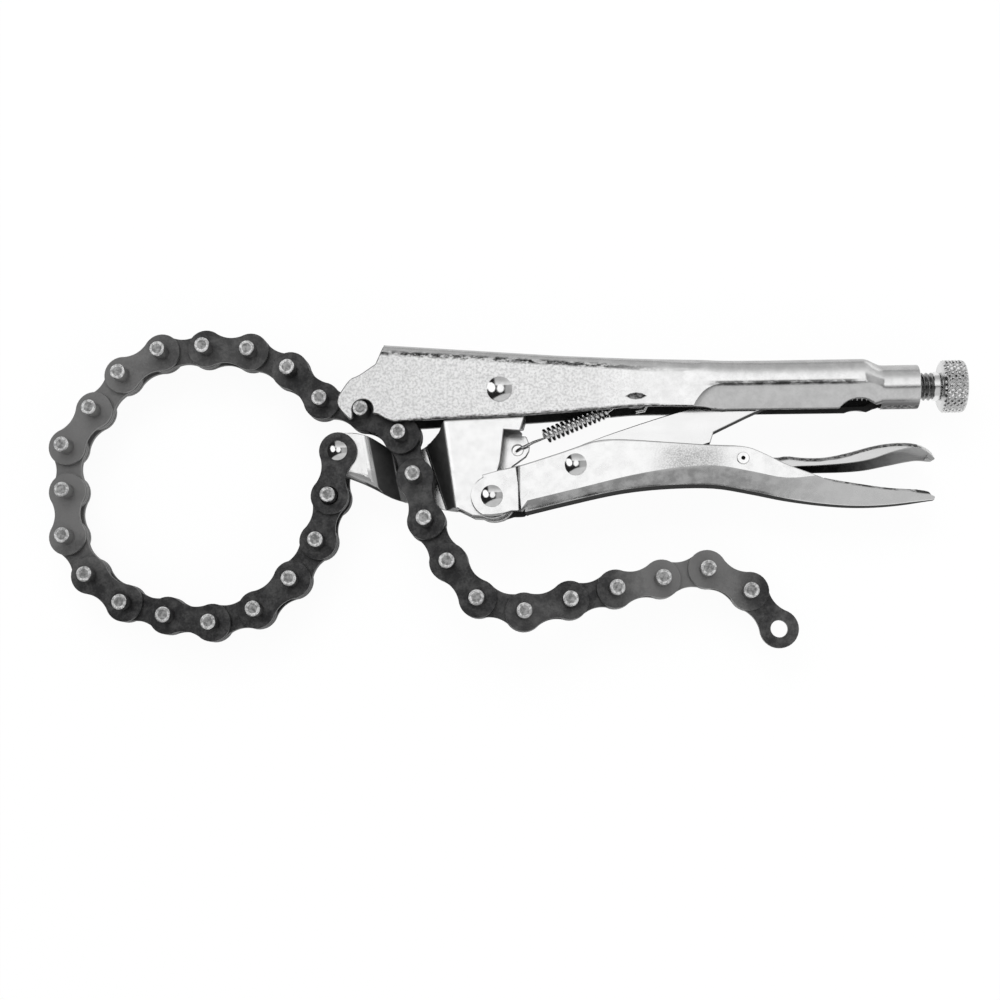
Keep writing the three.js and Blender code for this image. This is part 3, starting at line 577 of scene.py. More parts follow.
def handle_nickel():
    """Nickel over rough forged-looking cheeks, which grow smooth towards the grip and on the folds, with
    painted shade along the creases and the bottom edge, and on the faces that turn down or back.
    """
    f = Finish("handle_nickel", (0.8, 0.8, 0.805), 1.0, 0.3)
    x = f.axis("X")
    y = f.axis("Y")
    flat = f.ranged(f.sum("ABSOLUTE", f.facing("Z"), 0.0), 0.9, 0.995, 0, 1)
    forward = f.ranged(x, 0.06, 0.02, 0, 1)
    coarse = f.sum("MULTIPLY", flat, forward)
    speckle = f.noise(1100, 3, 0.6)
    blots = f.noise(230, 4, 0.7)
    # Painted shade lines, broken up by blots: along the crease of the top fold at the front, along the
    # flange's crease and along the bottom edge.
    ridge = f.sum("ADD", f.sum("MULTIPLY", x, -0.0764), 0.0104)
    from_ridge = f.sum("ABSOLUTE", f.sum("SUBTRACT", y, ridge), 0.0)
    near_ridge = f.ranged(from_ridge, 0.0014, 0.0003, 0, 1)
    near_ridge = f.sum("MULTIPLY", near_ridge, f.ranged(x, 0.066, 0.03, 0, 1))
    from_crease = f.sum("ABSOLUTE", f.sum("SUBTRACT", y, FLANGE_CREASE * MM), 0.0)
    near_crease = f.ranged(from_crease, 0.0012, 0.0004, 0, 1)
    near_crease = f.sum("MULTIPLY", near_crease, f.ranged(x, 0.068, 0.076, 0, 1))
    near_crease = f.sum("MULTIPLY", near_crease, f.ranged(x, 0.124, 0.118, 0, 1))
    fine_blots = f.noise(520, 4, 0.7, stretch=(0.5, 1, 1))
    brink = f.line_at(x, [(-36.2, -10.8), (-18.3, -9.9), (8.4, -9), (34.2, -7.4), (47.7, -6.5)])
    near_brink = f.ranged(f.sum("SUBTRACT", y, brink), 0.0011, 0.0005, 0, 0.8)
    near_brink = f.sum("MULTIPLY", near_brink, f.ranged(x, 0.06, 0.05, 0, 1))
    near_brink = f.sum("MULTIPLY", near_brink, f.ranged(x, -0.038, -0.034, 0, 1))
    lined = f.sum("MAXIMUM", near_ridge, near_brink)
    crease_and_edge_shade = f.sum("MULTIPLY", f.ranged(fine_blots, 0.4, 0.54, 0.12, 1), lined)
    crease_and_edge_shade = f.sum("ADD", crease_and_edge_shade, f.sum("MULTIPLY", f.ranged(fine_blots, 0.36, 0.56, 0.5, 1), near_crease))
    patches = f.ranged(f.noise(380, 3, 0.7), 0.35, 0.6, 0.9, 1.0)
    dim = f.sum("MULTIPLY", f.ranged(speckle, 0.38, 0.58, 0.74, 1.0), patches)
    clean = f.ranged(blots, 0.3, 0.7, 0.82, 0.98)
    tone = f.sum("ADD", f.sum("MULTIPLY", dim, coarse),
                 f.sum("MULTIPLY", f.sum("SUBTRACT", 1.0, coarse), clean))
    tone = f.sum("SUBTRACT", tone, f.sum("MULTIPLY", crease_and_edge_shade, 0.8))
    # Painted shade: a touch on the flange's faces that turn down, more on the faces that turn further down,
    # and on the top fold's faces that turn back; the last two also lose the metal's sheen.
    rise = f.facing("Y")
    flange = f.sum("MULTIPLY", f.ranged(rise, -0.2, -0.42, 0, 0.03), f.ranged(x, 0.129, 0.124, 0, 1))
    foot = f.ranged(rise, -0.6, -0.88, 0, 0.8)
    back = f.ranged(rise, 0.45, 0.7, 0, 0.46)
    wear_and_painted_shade = f.sum("MAXIMUM", f.sum("MAXIMUM", flange, foot), back)
    tone = f.sum("MULTIPLY", tone, f.sum("SUBTRACT", 1.0, wear_and_painted_shade))
    f.dulled_for_shade(f.ranged(f.sum("MAXIMUM", foot, back), 0.3, 0.7, 0, 0.8))
    f.tint(tone, (0.03, 0.03, 0.03), (0.9, 0.9, 0.9))
    f.roughened(f.ranged(coarse, 0, 1, 0.22, 0.3))
    height = f.sum("MULTIPLY", speckle, f.sum("ADD", f.sum("MULTIPLY", coarse, 1.0), 0.06))
    f.bumped(height, 0.00004)
    return f.material


def shaded_steel():
    """Painted shade: the dull, near-black steel laid on the inside of the folded handles and on other faces
    where shade falls.
    """
    f = Finish("shaded_steel", (0.03, 0.03, 0.03), 0.0, 0.6)
    f.shader.inputs["Specular IOR Level"].default_value = 0.05
    f.tint(f.noise(500, 3, 0.6), (0.012, 0.012, 0.012), (0.05, 0.05, 0.05))
    return f.material


def lever_inside():
    """Painted shade on the inside of the release lever: dark at the pin and greyer out to its open tip."""
    f = Finish("lever_inside", (0.03, 0.03, 0.03), 0.0, 0.6)
    f.shader.inputs["Specular IOR Level"].default_value = 0.05
    out = f.ranged(f.axis("X"), 0.112, 0.142, 0, 1)
    cloud = f.ranged(f.noise(500, 3, 0.6), 0.35, 0.65, -0.06, 0.06)
    f.tint(f.sum("ADD", out, cloud), (0.02, 0.02, 0.02), (0.4, 0.4, 0.4))
    return f.material


def cut_edge_and_shade_steel():
    """The rough, darker cut edge of pressed sheet, which also stands as painted shade on folds, undersides
    and recesses.
    """
    f = Finish("cut_edge_and_shade_steel", (0.2, 0.2, 0.2), 0.5, 0.5)
    f.tint(f.ranged(f.noise(700, 3, 0.7), 0.4, 0.6, 0, 1), (0.04, 0.04, 0.04), (0.3, 0.3, 0.3))
    f.bumped(f.noise(900, 3, 0.6), 0.00008)
    return f.material


def black_oxide():
    """Blackened, lightly oiled steel with greyer mottling from wear and broad greyer patches, and a painted
    sheen that lightens the links at the left and along the tail.
    """
    f = Finish("black_oxide", (0.03, 0.03, 0.031), 0.35, 0.42)
    x = f.axis("X")
    y = f.axis("Y")
    # Painted sheen: the links at the left and along the tail are lighter, where the plates would catch a
    # reflection.
    left = f.sum("MULTIPLY", f.ranged(x, -0.1, -0.14, 0, 0.9), f.ranged(y, -0.07, -0.04, 0, 1))
    tail = f.sum("MULTIPLY", f.ranged(x, 0.03, 0.055, 0, 0.8), f.ranged(x, 0.09, 0.075, 0, 1))
    patch = f.sum("ADD", left, f.sum("MULTIPLY", tail, f.ranged(y, -0.03, -0.04, 0, 1)))
    patch = f.sum("ADD", patch, f.ranged(f.noise(24, 2, 0.5), 0.5, 0.7, 0, 0.3))
    cloud = f.noise(260, 4, 0.65)
    grain = f.noise(1500, 3, 0.6)
    wear_and_painted_shade = f.ranged(f.sum("ADD", cloud, f.sum("MULTIPLY", grain, 0.35)), 0.52, 0.9, 0, 1)
    f.tint(f.sum("ADD", f.sum("MULTIPLY", wear_and_painted_shade, 0.4), patch),
           (0.014, 0.014, 0.015), (0.16, 0.159, 0.158))
    f.roughened(f.ranged(cloud, 0.3, 0.7, 0.38, 0.55))
    f.bumped(grain, 0.00006)
    return f.material


def pin_end(name, tone):
    """The end of a chain pin, dull steel scuffed by rubbing, with turning marks."""
    f = Finish(name, (tone, tone, tone), 1.0, 0.4)
    cloud = f.noise(900, 3, 0.65)
    f.tint(f.ranged(cloud, 0.35, 0.65, 0, 1), (tone * 0.6,) * 3, (tone * 1.4,) * 3)
    f.bumped(cloud, 0.0001)
    return f.material


def bright_steel(name, roughness):
    f = Finish(name, (0.83, 0.83, 0.83), 1.0, roughness)
    cloud = f.noise(400, 2, 0.5)
    f.tint(f.ranged(cloud, 0.3, 0.7, 0, 1), (0.76, 0.76, 0.76), (0.88, 0.88, 0.88))
    f.roughened(f.ranged(cloud, 0.3, 0.7, roughness * 0.8, roughness * 1.3))
    f.bumped(f.noise(1500, 2, 0.5), 0.00001)
    return f.material


NICKEL = nickel("smooth_nickel")
NECK_NICKEL = neck_nickel()
GRIP_NICKEL = grip_nickel()
HANDLE_NICKEL = handle_nickel()
BLACK_OXIDE = black_oxide()
PIN_END = pin_end("pin_end_steel", 0.36)
PIN_RIM = pin_end("pin_rim_steel", 0.68)
RIVET_STEEL = bright_steel("rivet_steel", 0.09)
SPRING_STEEL = bright_steel("spring_steel", 0.2)
KNOB_NICKEL = nickel("knob_nickel", scratch=0.2, tone=0.68)
LEVER_NICKEL = nickel("lever_nickel", tone=0.64)
THREAD_STEEL = nickel("thread_steel", scratch=0.3, tone=0.3)
SHADED_STEEL = shaded_steel()
LEVER_INSIDE = lever_inside()
CUT_EDGE_AND_SHADE = cut_edge_and_shade_steel()


# Rivets

RIVET_HEAD = 1.2


def dome_profile(shank, head, face):
    """Half the section of a rivet: its shank and its domed head, mirrored for the other side."""
    base = face + 0.3
    cap = RIVET_HEAD - 0.15
    bend = 2 * math.atan(cap / head)
    ball = head / math.sin(bend)
    steps = 9
    rise = [(ball * math.sin(bend * (1 - i / steps)) + 0.02,
             base + RIVET_HEAD - ball + ball * math.cos(bend * (1 - i / steps)))
            for i in range(steps + 1)]
    upper = [(shank, base), (head - 0.15, base), (head, base + 0.15), *rise]
    return [(r, -h) for r, h in upper[::-1]] + upper


def rolled_profile(shank, head, face):
    """The same of a hollow pin, whose end is rolled flat."""
    upper = [(shank, face), (head - 0.1, face), (head, face + 0.2), (head - 0.05, face + 0.45),
             (head - 0.25, face + 0.6), (0.8, face + 0.6), (0.1, face + 0.6)]
    return [(r, -h) for r, h in upper[::-1]] + upper


def add_rivet(name, centre, shank, head, face, body, hollow=False):
    profile = rolled_profile if hollow else dome_profile
    piece = turned(name, profile(shank, head, face), 40)
    if hollow:
        drill(piece, (0, 0), head * 0.34, face - 0.6, face + OVERRUN, 24)
    place(piece, centre)
    smooth(piece, 50)
    # Painted shade: the bore of a hollow pin gets the near-black steel.
    bore = lambda spot, facing: (
        hollow and spot.z > 0 and math.hypot(spot.x - centre[0], spot.y - centre[1]) < head * 0.35)
    return settle(piece, body, [name_of_node[name]], RIVET_STEEL, inside=bore)


name_of_node = {
    "main_rivet_dome": "main_rivet",
    "handle_rivet_dome": "handle_rivet",
    "toggle_rivet_dome": "toggle_rivet",
    "lever_pin_dome": "lever_pin",
    "anchor_rivet_dome": "anchor_rivet",
}
JAW_RIVET = (-2.6, -36.8)
TOGGLE_RIVET = (25.8, -26.2)
LEVER_PIN = (82.0, -24.7)
ANCHOR = (-56.2, -20.0)

add_rivet("main_rivet_dome", (0, 0), 3.0, 4.3, 8.8, "upper_handle")
add_rivet("handle_rivet_dome", JAW_RIVET, 2.5, 3.7, 8.6, "jaw")
add_rivet("toggle_rivet_dome", TOGGLE_RIVET, 2.5, 3.7, 8.0, "lower_handle")
add_rivet("lever_pin_dome", LEVER_PIN, 1.5, 2.1, 8.0, "lower_handle", hollow=True)
add_rivet("anchor_rivet_dome", ANCHOR, 2.3, 3.4, 5.05, "link_01")


# Upper handle

RIDGE = [(-64, 18.4), (-39.3, 16.6), (-2.3, 13.7), (21, 11.9), (48, 10.5), (68.3, 10), (80, 9.6),
         (124, 9.6)]
RIDGE_LINE = through(RIDGE, 6)
FLANGE_LINE = through([(60, -11.5), (64.2, -9), (65.6, -6.6), (67.2, -4), (69.2, -1.6), (71.6, -0.1),
                       (74.5, 0.75), (78, FLANGE_CREASE), (124, FLANGE_CREASE)], 3)
HANDLE_HALF = 8.8
TUBE_RADIUS = 7.5
TUBE_RISE = 0.5


def upper_ring(x, inset=0.0):
    rolled = ease(x, 66, 77)
    necked = ease(x, 123, 130)
    top = mix(height_at(RIDGE_LINE, x), TUBE_RISE + TUBE_RADIUS, necked)
    under = mix(mix(-17.8, -11.5, ease(x, 56, 64)), -7.5, rolled)
    half = mix(HANDLE_HALF, TUBE_RADIUS, necked)
    fold = mix(3.0, 5.2, ease(x, 30, 100))
    wide = mix(fold, TUBE_RADIUS, necked)
    tall = mix(mix(3.2, 8.0, ease(x, 20, 90)), TUBE_RADIUS, necked)
    tilt = mix(14, 0, ease(x, 40, 70))
    pressed = ease(x, 64, 74)
    flange_wide = mix(mix(0.8, 4.4, pressed), TUBE_RADIUS, necked)
    flange_tall = mix(max(1.0, height_at(FLANGE_LINE, x) - under), TUBE_RADIUS, necked)
    under = mix(under, TUBE_RISE - TUBE_RADIUS, necked)
    return channel_ring(x, half, top, under, (wide, tall, tilt), (flange_wide, flange_tall), inset,
                        roundness=necked)


def make_upper_handle():
    stations = [-62, -50, -40, -30, -20, -10, 0, 10, 20, 30, 40, 48, 54, 58, 62]
    stations += [64 + 1.2 * i for i in range(12)]
    stations += [80, 86, 92, 98, 104, 110, 116, 120, 122]
    stations += [123 + 0.7 * i for i in range(11)]
    stations += [132, 136, 142]
    piece = solid_through("upper_handle_body", [upper_ring(x) for x in stations])
    hollow = [upper_ring(x, 2.3) for x in [-66, *stations[1:-1], 146]]
    combine(piece, solid_through("hollow", hollow), "DIFFERENCE")
    front = through([(-38.4, 22), (-40.9, 14.3), (-42.9, 9.5)], 4)[:-1]
    front += through([(-42.9, 9.5), (-48.5, 5.7), (-51.6, 4.2), (-54.3, 0.6), (-55.7, -2),
                      (-55.7, -5), (-53.6, -7.8), (-51.6, -9.6), (-50.6, -9.4)], 4)
    notch = arc((-47.1, -6.5), 3.6, 196, -20, 20)
    under = through([(-41.6, -8.2), (-39.4, -9.6), (-36.2, -10.8)], 3)[:-1]
    under += through([(-36.2, -10.8), (-18.3, -9.9), (8.4, -9), (34.2, -7.4), (47.7, -6.5),
                      (66.9, -6.8), (71, -7.1), (76, -7.6)], 4)
    side = plate("side", front + notch + under + [(78, -16), (146, -26), (146, 22)], -14, 14)
    combine(piece, side, "INTERSECT")
    slot = plate("slot", [(63, -14), (129.2, -14), (129.2, -4.3), (63, -4.3)], -3.6, 3.6)
    combine(piece, slot, "DIFFERENCE")
    drill(piece, (121.6, -12.8), 8.6, 0, 14, 64)
    drill(piece, (121.6, -15.2), 8.6, -14, 0, 64)
    lens = plate("lens", [(43.4, -3.1), (44.6, -3.75), (46.4, -4.0), (48.2, -3.75), (49.4, -3.1),
                          (48.2, -2.45), (46.4, -2.2), (44.6, -2.45)], 8.0, 14)
    combine(piece, lens, "DIFFERENCE")
    drill(piece, (0, 0), 3.3, -14, 14)
    relief = plate("relief", [(-45, -12), (-26, -12), (-28, -6.6), (-38, -6.6), (-45, -8.6)],
                   0, 7.6)
    combine(piece, relief, "DIFFERENCE")
    break_edges(piece, 0.35)
    tang = plate("tang", [(44.0, -5.5), (48.8, -5.5), (48.8, -4.0), (44.0, -4.0)], -0.7, 7.6)
    break_edges(tang, 0.3)
    piece = join([piece, tang], "upper_handle_body")
    smooth(piece, 28)
    # Painted shade: the channel's inner faces get the near-black steel; the front edges, the undersides and
    # the floor of the lens recess get the darker cut-edge steel, real on the cut edges and painted shade
    # elsewhere.
    return settle(
        piece, "upper_handle", ["upper_handle"], HANDLE_NICKEL,
        inside=lambda spot, facing: spot.x < 128 and (
            inward(spot, facing) or (facing.y < -0.5 and spot.y > 2 and abs(spot.z) < 7)),
        cut_edge_and_shade=lambda spot, facing: abs(facing.z) < 0.93 and (
            (spot.x < 66 and (facing.y < 0.3 or facing.x < -0.3)) or facing.y < -0.93)
        or (abs(spot.x - 46.4) < 2 and 7.8 < spot.z < 8.2))


make_upper_handle()


# Adjusting screw and knob

KNOB_X = 149.2
KNOB_LENGTH = 8.5
KNOB_RADIUS = 9.0
THREAD_PITCH = 1.6
THREAD_DEPTH = 0.8
SCREW_RADIUS = 4.8


def make_screw():
    tip = 102.6
    end = KNOB_X - 2.5
    rings = 8 * int((end - tip - 2) / THREAD_PITCH)
    step = (end - tip - 2) / rings
    profile = [(3.4, tip), (4.4, tip + 1.2)]
    profile += [(SCREW_RADIUS, tip + 2 + step * i) for i in range(rings + 1)]
    profile += [(4.0, end + 0.1), (4.6, end + 0.2), (4.9, end + 0.6), (4.9, KNOB_X - 0.5),
                (4.6, KNOB_X - 0.15), (3.4, KNOB_X - 0.1), (3.4, KNOB_X + 4.6)]
    piece = turned("adjusting_screw_thread", profile, 48)
    for v in piece.data.vertices:
        across = math.hypot(v.co.x, v.co.y)
        if abs(across - SCREW_RADIUS) > 0.01 or v.co.z > end:
            continue
        turn = math.atan2(v.co.y, v.co.x) / (2 * math.pi)
        wave = (v.co.z / THREAD_PITCH - turn) % 1.0
        cut = THREAD_DEPTH * abs(2 * wave - 1) ** 1.3
        v.co.x *= 1 - cut / across
        v.co.y *= 1 - cut / across
    lay_along_x(piece, TUBE_RISE)
    smooth(piece, 40)
    settle(piece, "screw", ["adjusting_screw"], THREAD_STEEL)
    piece.data.materials.append(NICKEL)
    for f in piece.data.polygons:
        f.material_index = 1 if f.center.x > (end + 0.12) * MM else 0


def make_knob():
    steps = 44
    inner = KNOB_LENGTH - 2.2
    profile = [(4.0, 0.05), (6.4, 0.0), (7.4, 0.12), (8.3, 0.5), (8.8, 1.0)]
    profile += [(KNOB_RADIUS, 1.2 + (inner - 0.2) * i / steps) for i in range(steps + 1)]
    profile += [(8.8, 7.6), (8.4, 8.05), (7.7, 8.4), (6.9, 8.5), (6.2, 8.45), (5.6, 8.1), (0.4, 8.0)]
    piece = turned("adjusting_knob_knurl", profile, 240)
    starts = 26
    lead = 2.2
    for v in piece.data.vertices:
        across = math.hypot(v.co.x, v.co.y)
        if across < 8.75:
            continue
        turn = math.atan2(v.co.y, v.co.x) / (2 * math.pi) * starts
        left = abs(2 * ((turn + v.co.z / lead) % 1.0) - 1)
        right = abs(2 * ((turn - v.co.z / lead) % 1.0) - 1)
        cut = 0.6 * max(left, right) ** 1.5
        v.co.x *= 1 - cut / across
        v.co.y *= 1 - cut / across
    piece.data.transform(Matrix.Translation((0, 0, KNOB_X)))
    lay_along_x(piece, TUBE_RISE)
    smooth(piece, 25)
    return settle(piece, "screw", ["adjusting_knob"], KNOB_NICKEL)


make_screw()
make_knob()


# Jaw

JAW_HALF = 6.1
JAW_SHEET = 2.3
NOSE_HALF = 3.1
NECK_FLOOR = -5.3
NEAR_LEAN = -0.2
FLOOR_LEAN = -0.34
FAR_LEAN = -0.13
NECK_MIDDLE = -27.0
NEAR_FOLD = [(-46, 1), (-43.2, 0.9), (-40.2, 0.5), (-37.4, 0.12), (-35, 0)]
FAR_FOLD = [(-24, 0), (-22.6, 0.08), (-19.8, 0.6), (-17.8, 0.92), (-15.8, 1)]


def leaned(x, y):
    """The folds of the neck aren't parallel: each line of them leans in its own way."""
    lean = mix(NEAR_LEAN, FLOOR_LEAN, ease(x, -40, -28))
    lean = mix(lean, FAR_LEAN, ease(x, -24, -15.8))
    return x + lean * (y - NECK_MIDDLE)


def pressed_sheet(name, line, low, high, thickness):
    """A sheet bent along a line of (x, height), swept across in Y with the neck's lean."""
    rows = [[(leaned(x, y), y, z) for y in (low, high)] for x, z in line]
    piece = sheet_through(name, rows, closed=False)
    pick(piece, "FACE", lambda middle, normal: normal.z < 0)
    bpy.ops.mesh.flip_normals()
    bpy.ops.object.mode_set(mode="OBJECT")
    add_wall(piece, thickness)
    return close_up(piece)


def nose_round(line):
    """What the bend between the nose's flat side and its web leaves out: widest in the middle."""
    rows = []
    for i, (x, y) in enumerate(line):
        ahead, behind = line[min(i + 1, len(line) - 1)], line[max(i - 1, 0)]
        along = Vector((ahead[0] - behind[0], ahead[1] - behind[1])).normalized()
        out = Vector((along.y, -along.x))
        if out.y > 0:
            out = -out
        share = math.sin(math.pi * (i + 0.3) / (len(line) - 0.4))
        wide, deep = 0.3 + 2.9 * share, 0.3 + 1.7 * share
        spots = [(1.5, NOSE_HALF + 1.5), (1.5, NOSE_HALF - deep)]
        spots += [(wide * (math.cos(math.radians(a)) - 1), NOSE_HALF + deep * (math.sin(math.radians(a)) - 1))
                  for a in range(0, 91, 10)]
        spots += [(-wide, NOSE_HALF + 1.5), (1.5, NOSE_HALF + 1.5)]
        rows.append([(x + out.x * a, y + out.y * a, z) for a, z in spots])
    return solid_through("nose_round", rows)


def make_jaw():
    nose_rise = NOSE_HALF - NECK_FLOOR
    cheek_rise = JAW_HALF - NECK_FLOOR
    nose_fold = through([(x, NECK_FLOOR + h * nose_rise) for x, h in NEAR_FOLD], 4)
    cheek_fold = through([(x, NECK_FLOOR + h * cheek_rise) for x, h in FAR_FOLD], 4)
    near_line = [(-80, NOSE_HALF), *nose_fold, *cheek_fold, (20, JAW_HALF)]
    piece = pressed_sheet("jaw_body", near_line, -60, 20, JAW_SHEET)
    web_line = through([(-34, -36.7), (-38.7, -35.3), (-46, -31.6), (-52.6, -28.9),
                        (-58.8, -27)], 3)
    combine(piece, nose_round(web_line), "DIFFERENCE")
    far_line = [(-80, JAW_SHEET - NOSE_HALF), (-48.6, JAW_SHEET - NOSE_HALF), (-35, NECK_FLOOR),
                (-24, NECK_FLOOR), (-17.8, JAW_SHEET - JAW_HALF), (20, JAW_SHEET - JAW_HALF)]
    far = pressed_sheet("far", far_line, -59, 19, JAW_SHEET)
    combine(piece, far, "UNION")
    side = (through([(-51.6, -13.4), (-48.6, -13.9), (-45.1, -15), (-41.6, -16.8), (-38, -18.8)], 3)
            + through([(-30, -19), (-26.5, -17), (-21.4, -13.8), (-19.8, -10.6), (-14, -4)], 3)
            + arc((0, 0), 8, 150, 10, 16)
            + [(8.2, -9.3), (6.7, -14.1), (12.5, -14.6), (12.5, -28.1), (6.8, -28.1), (6.9, -39.9)]
            + arc(JAW_RIVET, 7.4, -25, -120, 12)
            + [(-9.4, -43), (-14.6, -40.4), (-20, -39.5), (-28, -37.8), (-34, -36.7)]
            + through([(-38.7, -35.3), (-46, -31.6), (-52.6, -28.9)], 3)
            + through([(-58.8, -27), (-61.6, -23.6), (-62.4, -20), (-61.6, -16.2),
                       (-58.6, -13.4)], 3))
    combine(piece, plate("side", side, -10, 10), "INTERSECT")
    window = plate("window", [(1.2, -13.4), (0, -24.4), (-1, -28.2), (13, -28.6), (13, -14.4)],
                   0, 10)
    combine(piece, window, "DIFFERENCE")
    far_window = plate("far_window", [(5.9, -12), (8.6, -14.6), (9.6, -17.2), (9.4, -19.4),
                                      (8.3, -21.4), (3.6, -24.8), (2.4, -27), (3, -29.4),
                                      (13, -30.4), (13, -11)], -10, 0)
    combine(piece, far_window, "DIFFERENCE")
    web = plate("web", web_line + [(x, y + JAW_SHEET) for x, y in web_line[::-1]], -20, 20)
    low, high = 0.4 - NOSE_HALF, NOSE_HALF - 0.4
    inside = [(-36, NECK_FLOOR - JAW_SHEET + 0.4), (-48.6, low), (-80, low), (-80, high)]
    inside += [(x, h - 0.4) for x, h in nose_fold]
    hull_rows = [[(leaned(x, y), y, z) for x, z in inside + inside[:1]] for y in (-60, 20)]
    hull = solid_through("hull", hull_rows)
    combine(web, hull, "INTERSECT")
    combine(web, nose_round(web_line), "DIFFERENCE")
    combine(piece, web, "UNION")
    boss = turned("boss", [(3.75, -2.9), (3.75, 2.9)], 32)
    combine(piece, place(boss, ANCHOR), "UNION")
    drill(piece, (5.4, -19), 1.9, -10, 0, 24)
    drill(piece, (0, 0), 3.3, -10, 10)
    drill(piece, JAW_RIVET, 2.8, -10, 10)
    drill(piece, ANCHOR, 2.6, -10, 10)
    break_edges(piece, 0.25)
    close_gaps(piece)
    smooth(piece, 28)
    # The darker cut-edge steel goes on the cut edges of the rear part, and as painted shade on the faces that
    # turn down.
    return settle(piece, "jaw", ["jaw"], NECK_NICKEL,
                  cut_edge_and_shade=lambda spot, facing: abs(facing.z) < 0.9 and (
                      spot.x > -16 or (spot.x > -34 and facing.y < -0.5)))


make_jaw()


# Lower handle

EAR_HALF = 8.6
GRIP_HALF = 8.0
GRIP_SHEET = 2.0
GRIP_TOP = [(-3.4, 7.3), (3, 9), (10.9, 10.9), (23.1, 14.7), (34.3, 18.4), (41, 19.1),
            (50.2, 18.7), (71.3, 17), (84.6, 16.2), (91, 14), (98.4, 10.2), (106.3, 7.1),
            (111.5, 5.2), (121.8, 3.4), (133.2, 1.8), (145, 1.1), (147.6, -0.3)]
GRIP_KEEL = [(11, -5.2), (26.6, -1.5), (43.3, 2), (59.1, 3.6), (74.9, 3.6), (86.9, 1.5),
             (98.6, -1.1), (110.4, -2.9), (121.9, -3.8), (133.6, -3.5), (148, -1.8)]


def grip(points):
    return [(JAW_RIVET[0] + x, JAW_RIVET[1] + y) for x, y in points]


KEEL_LINE = through(grip([(4, -7), *GRIP_KEEL, (152, -1.2)]), 5)


def lower_ring(share, inset=0.0):
    x = JAW_RIVET[0] + share
    half = mix(EAR_HALF, GRIP_HALF, ease(share, 9, 9.6))
    half -= 1.5 * ease(share, 138, 148)
    keel = height_at(KEEL_LINE, x)
    eared = ease(share, 12, 9.5)
    band = mix(mix(3.4, 6.2, ease(share, 30, 80)), 0.8, eared)
    band = mix(band, 12, ease(share, 95, 125))
    wide = mix(mix(3.4, 5.4, ease(share, 60, 110)), 0.6, eared)
    return channel_ring(x, half, 8, keel, (2.2, 2.2, 0), (wide, band), inset)


def make_lower_handle():
    shares = [-14, 0, 8, 9, 9.6, 12, 14, 16, 18, 21, 24, 27]
    shares += [30 + 3 * i for i in range(36)] + [138, 140, 142, 144, 146, 147, 148, 148.7]
    piece = solid_through("lower_handle_body", [lower_ring(s) for s in shares])
    hollow = [lower_ring(s, GRIP_SHEET) for s in [-18, *[s for s in shares[1:] if s < 146.5]]]
    combine(piece, solid_through("hollow", hollow), "DIFFERENCE")
    ear = arc(JAW_RIVET, 7.2, 304, 116, 24)
    side = (grip(through(GRIP_TOP, 4)) + grip([(152, -1.8), (152, -30), (11, -30), (11, -5.2),
                                               (6.6, -5.2)]) + ear)
    combine(piece, plate("side", side, -14, 14), "INTERSECT")
    mouth = plate("mouth", grip([(-20, -30), (11, -30), (11, 30), (-20, 30)]),
                  GRIP_SHEET - EAR_HALF, EAR_HALF - GRIP_SHEET)
    combine(piece, mouth, "DIFFERENCE")
    drill(piece, JAW_RIVET, 2.8, -14, 14)
    drill(piece, TOGGLE_RIVET, 2.8, -14, 14)
    drill(piece, LEVER_PIN, 1.8, -14, 14)
    break_edges(piece, 0.3, sharp=60)
    smooth(piece, 28)
    # Painted shade: the channel's inner faces get the near-black steel, and the side faces above the keel the
    # darker cut-edge steel, real on the cut edges and painted shade on the top fold.
    return settle(
        piece, "lower_handle", ["lower_handle"], GRIP_NICKEL,
        inside=inward,
        cut_edge_and_shade=lambda spot, facing: abs(facing.z) < 0.6 and spot.y > height_at(KEEL_LINE, spot.x) + 3)


make_lower_handle()


# Toggle link

LINK_LENGTH = 80.0
LINK_DEPTH = 6.4


def make_toggle_link():
    along = [(0.06, 1.02), (0.2, 1.04), (0.45, 0.94), (0.72, 0.66), (0.95, 0.5)]
    below = [(0.95, -0.46), (0.8, -0.5), (0.6, -0.76)]
    heel = [(0.57, -1.25), (0.3, -1.08), (0.06, -0.98)]
    sized = lambda shares: [(s * LINK_LENGTH, h * LINK_DEPTH) for s, h in shares]
    outline = (arc((0, 0), LINK_DEPTH * 0.96, 250, 110, 20) + through(sized(along), 4)
               + sized([(1, 0.3), (1, -0.3)]) + through(sized(below), 4) + sized(heel))
    piece = plate("toggle_link_body", outline, -3, 3)
    boss = turned("boss", [(5.4, -5.6), (5.4, 5.6)], 40)
    combine(piece, boss, "UNION")
    drill(piece, (0, 0), 2.8, -12, 12)
    break_edges(piece, 0.3)
    angle = math.asin((TUBE_RISE - TOGGLE_RIVET[1]) / LINK_LENGTH)
    piece.data.transform(Matrix.Translation((*TOGGLE_RIVET, 0)) @ Matrix.Rotation(angle, 4, "Z"))
    smooth(piece, 28)
    # Painted shade: the link's side faces get the near-black steel.
    return settle(piece, "toggle_link", ["toggle_link"], NICKEL,
                  inside=lambda spot, facing: abs(facing.z) < 0.5)


make_toggle_link()


# Release lever

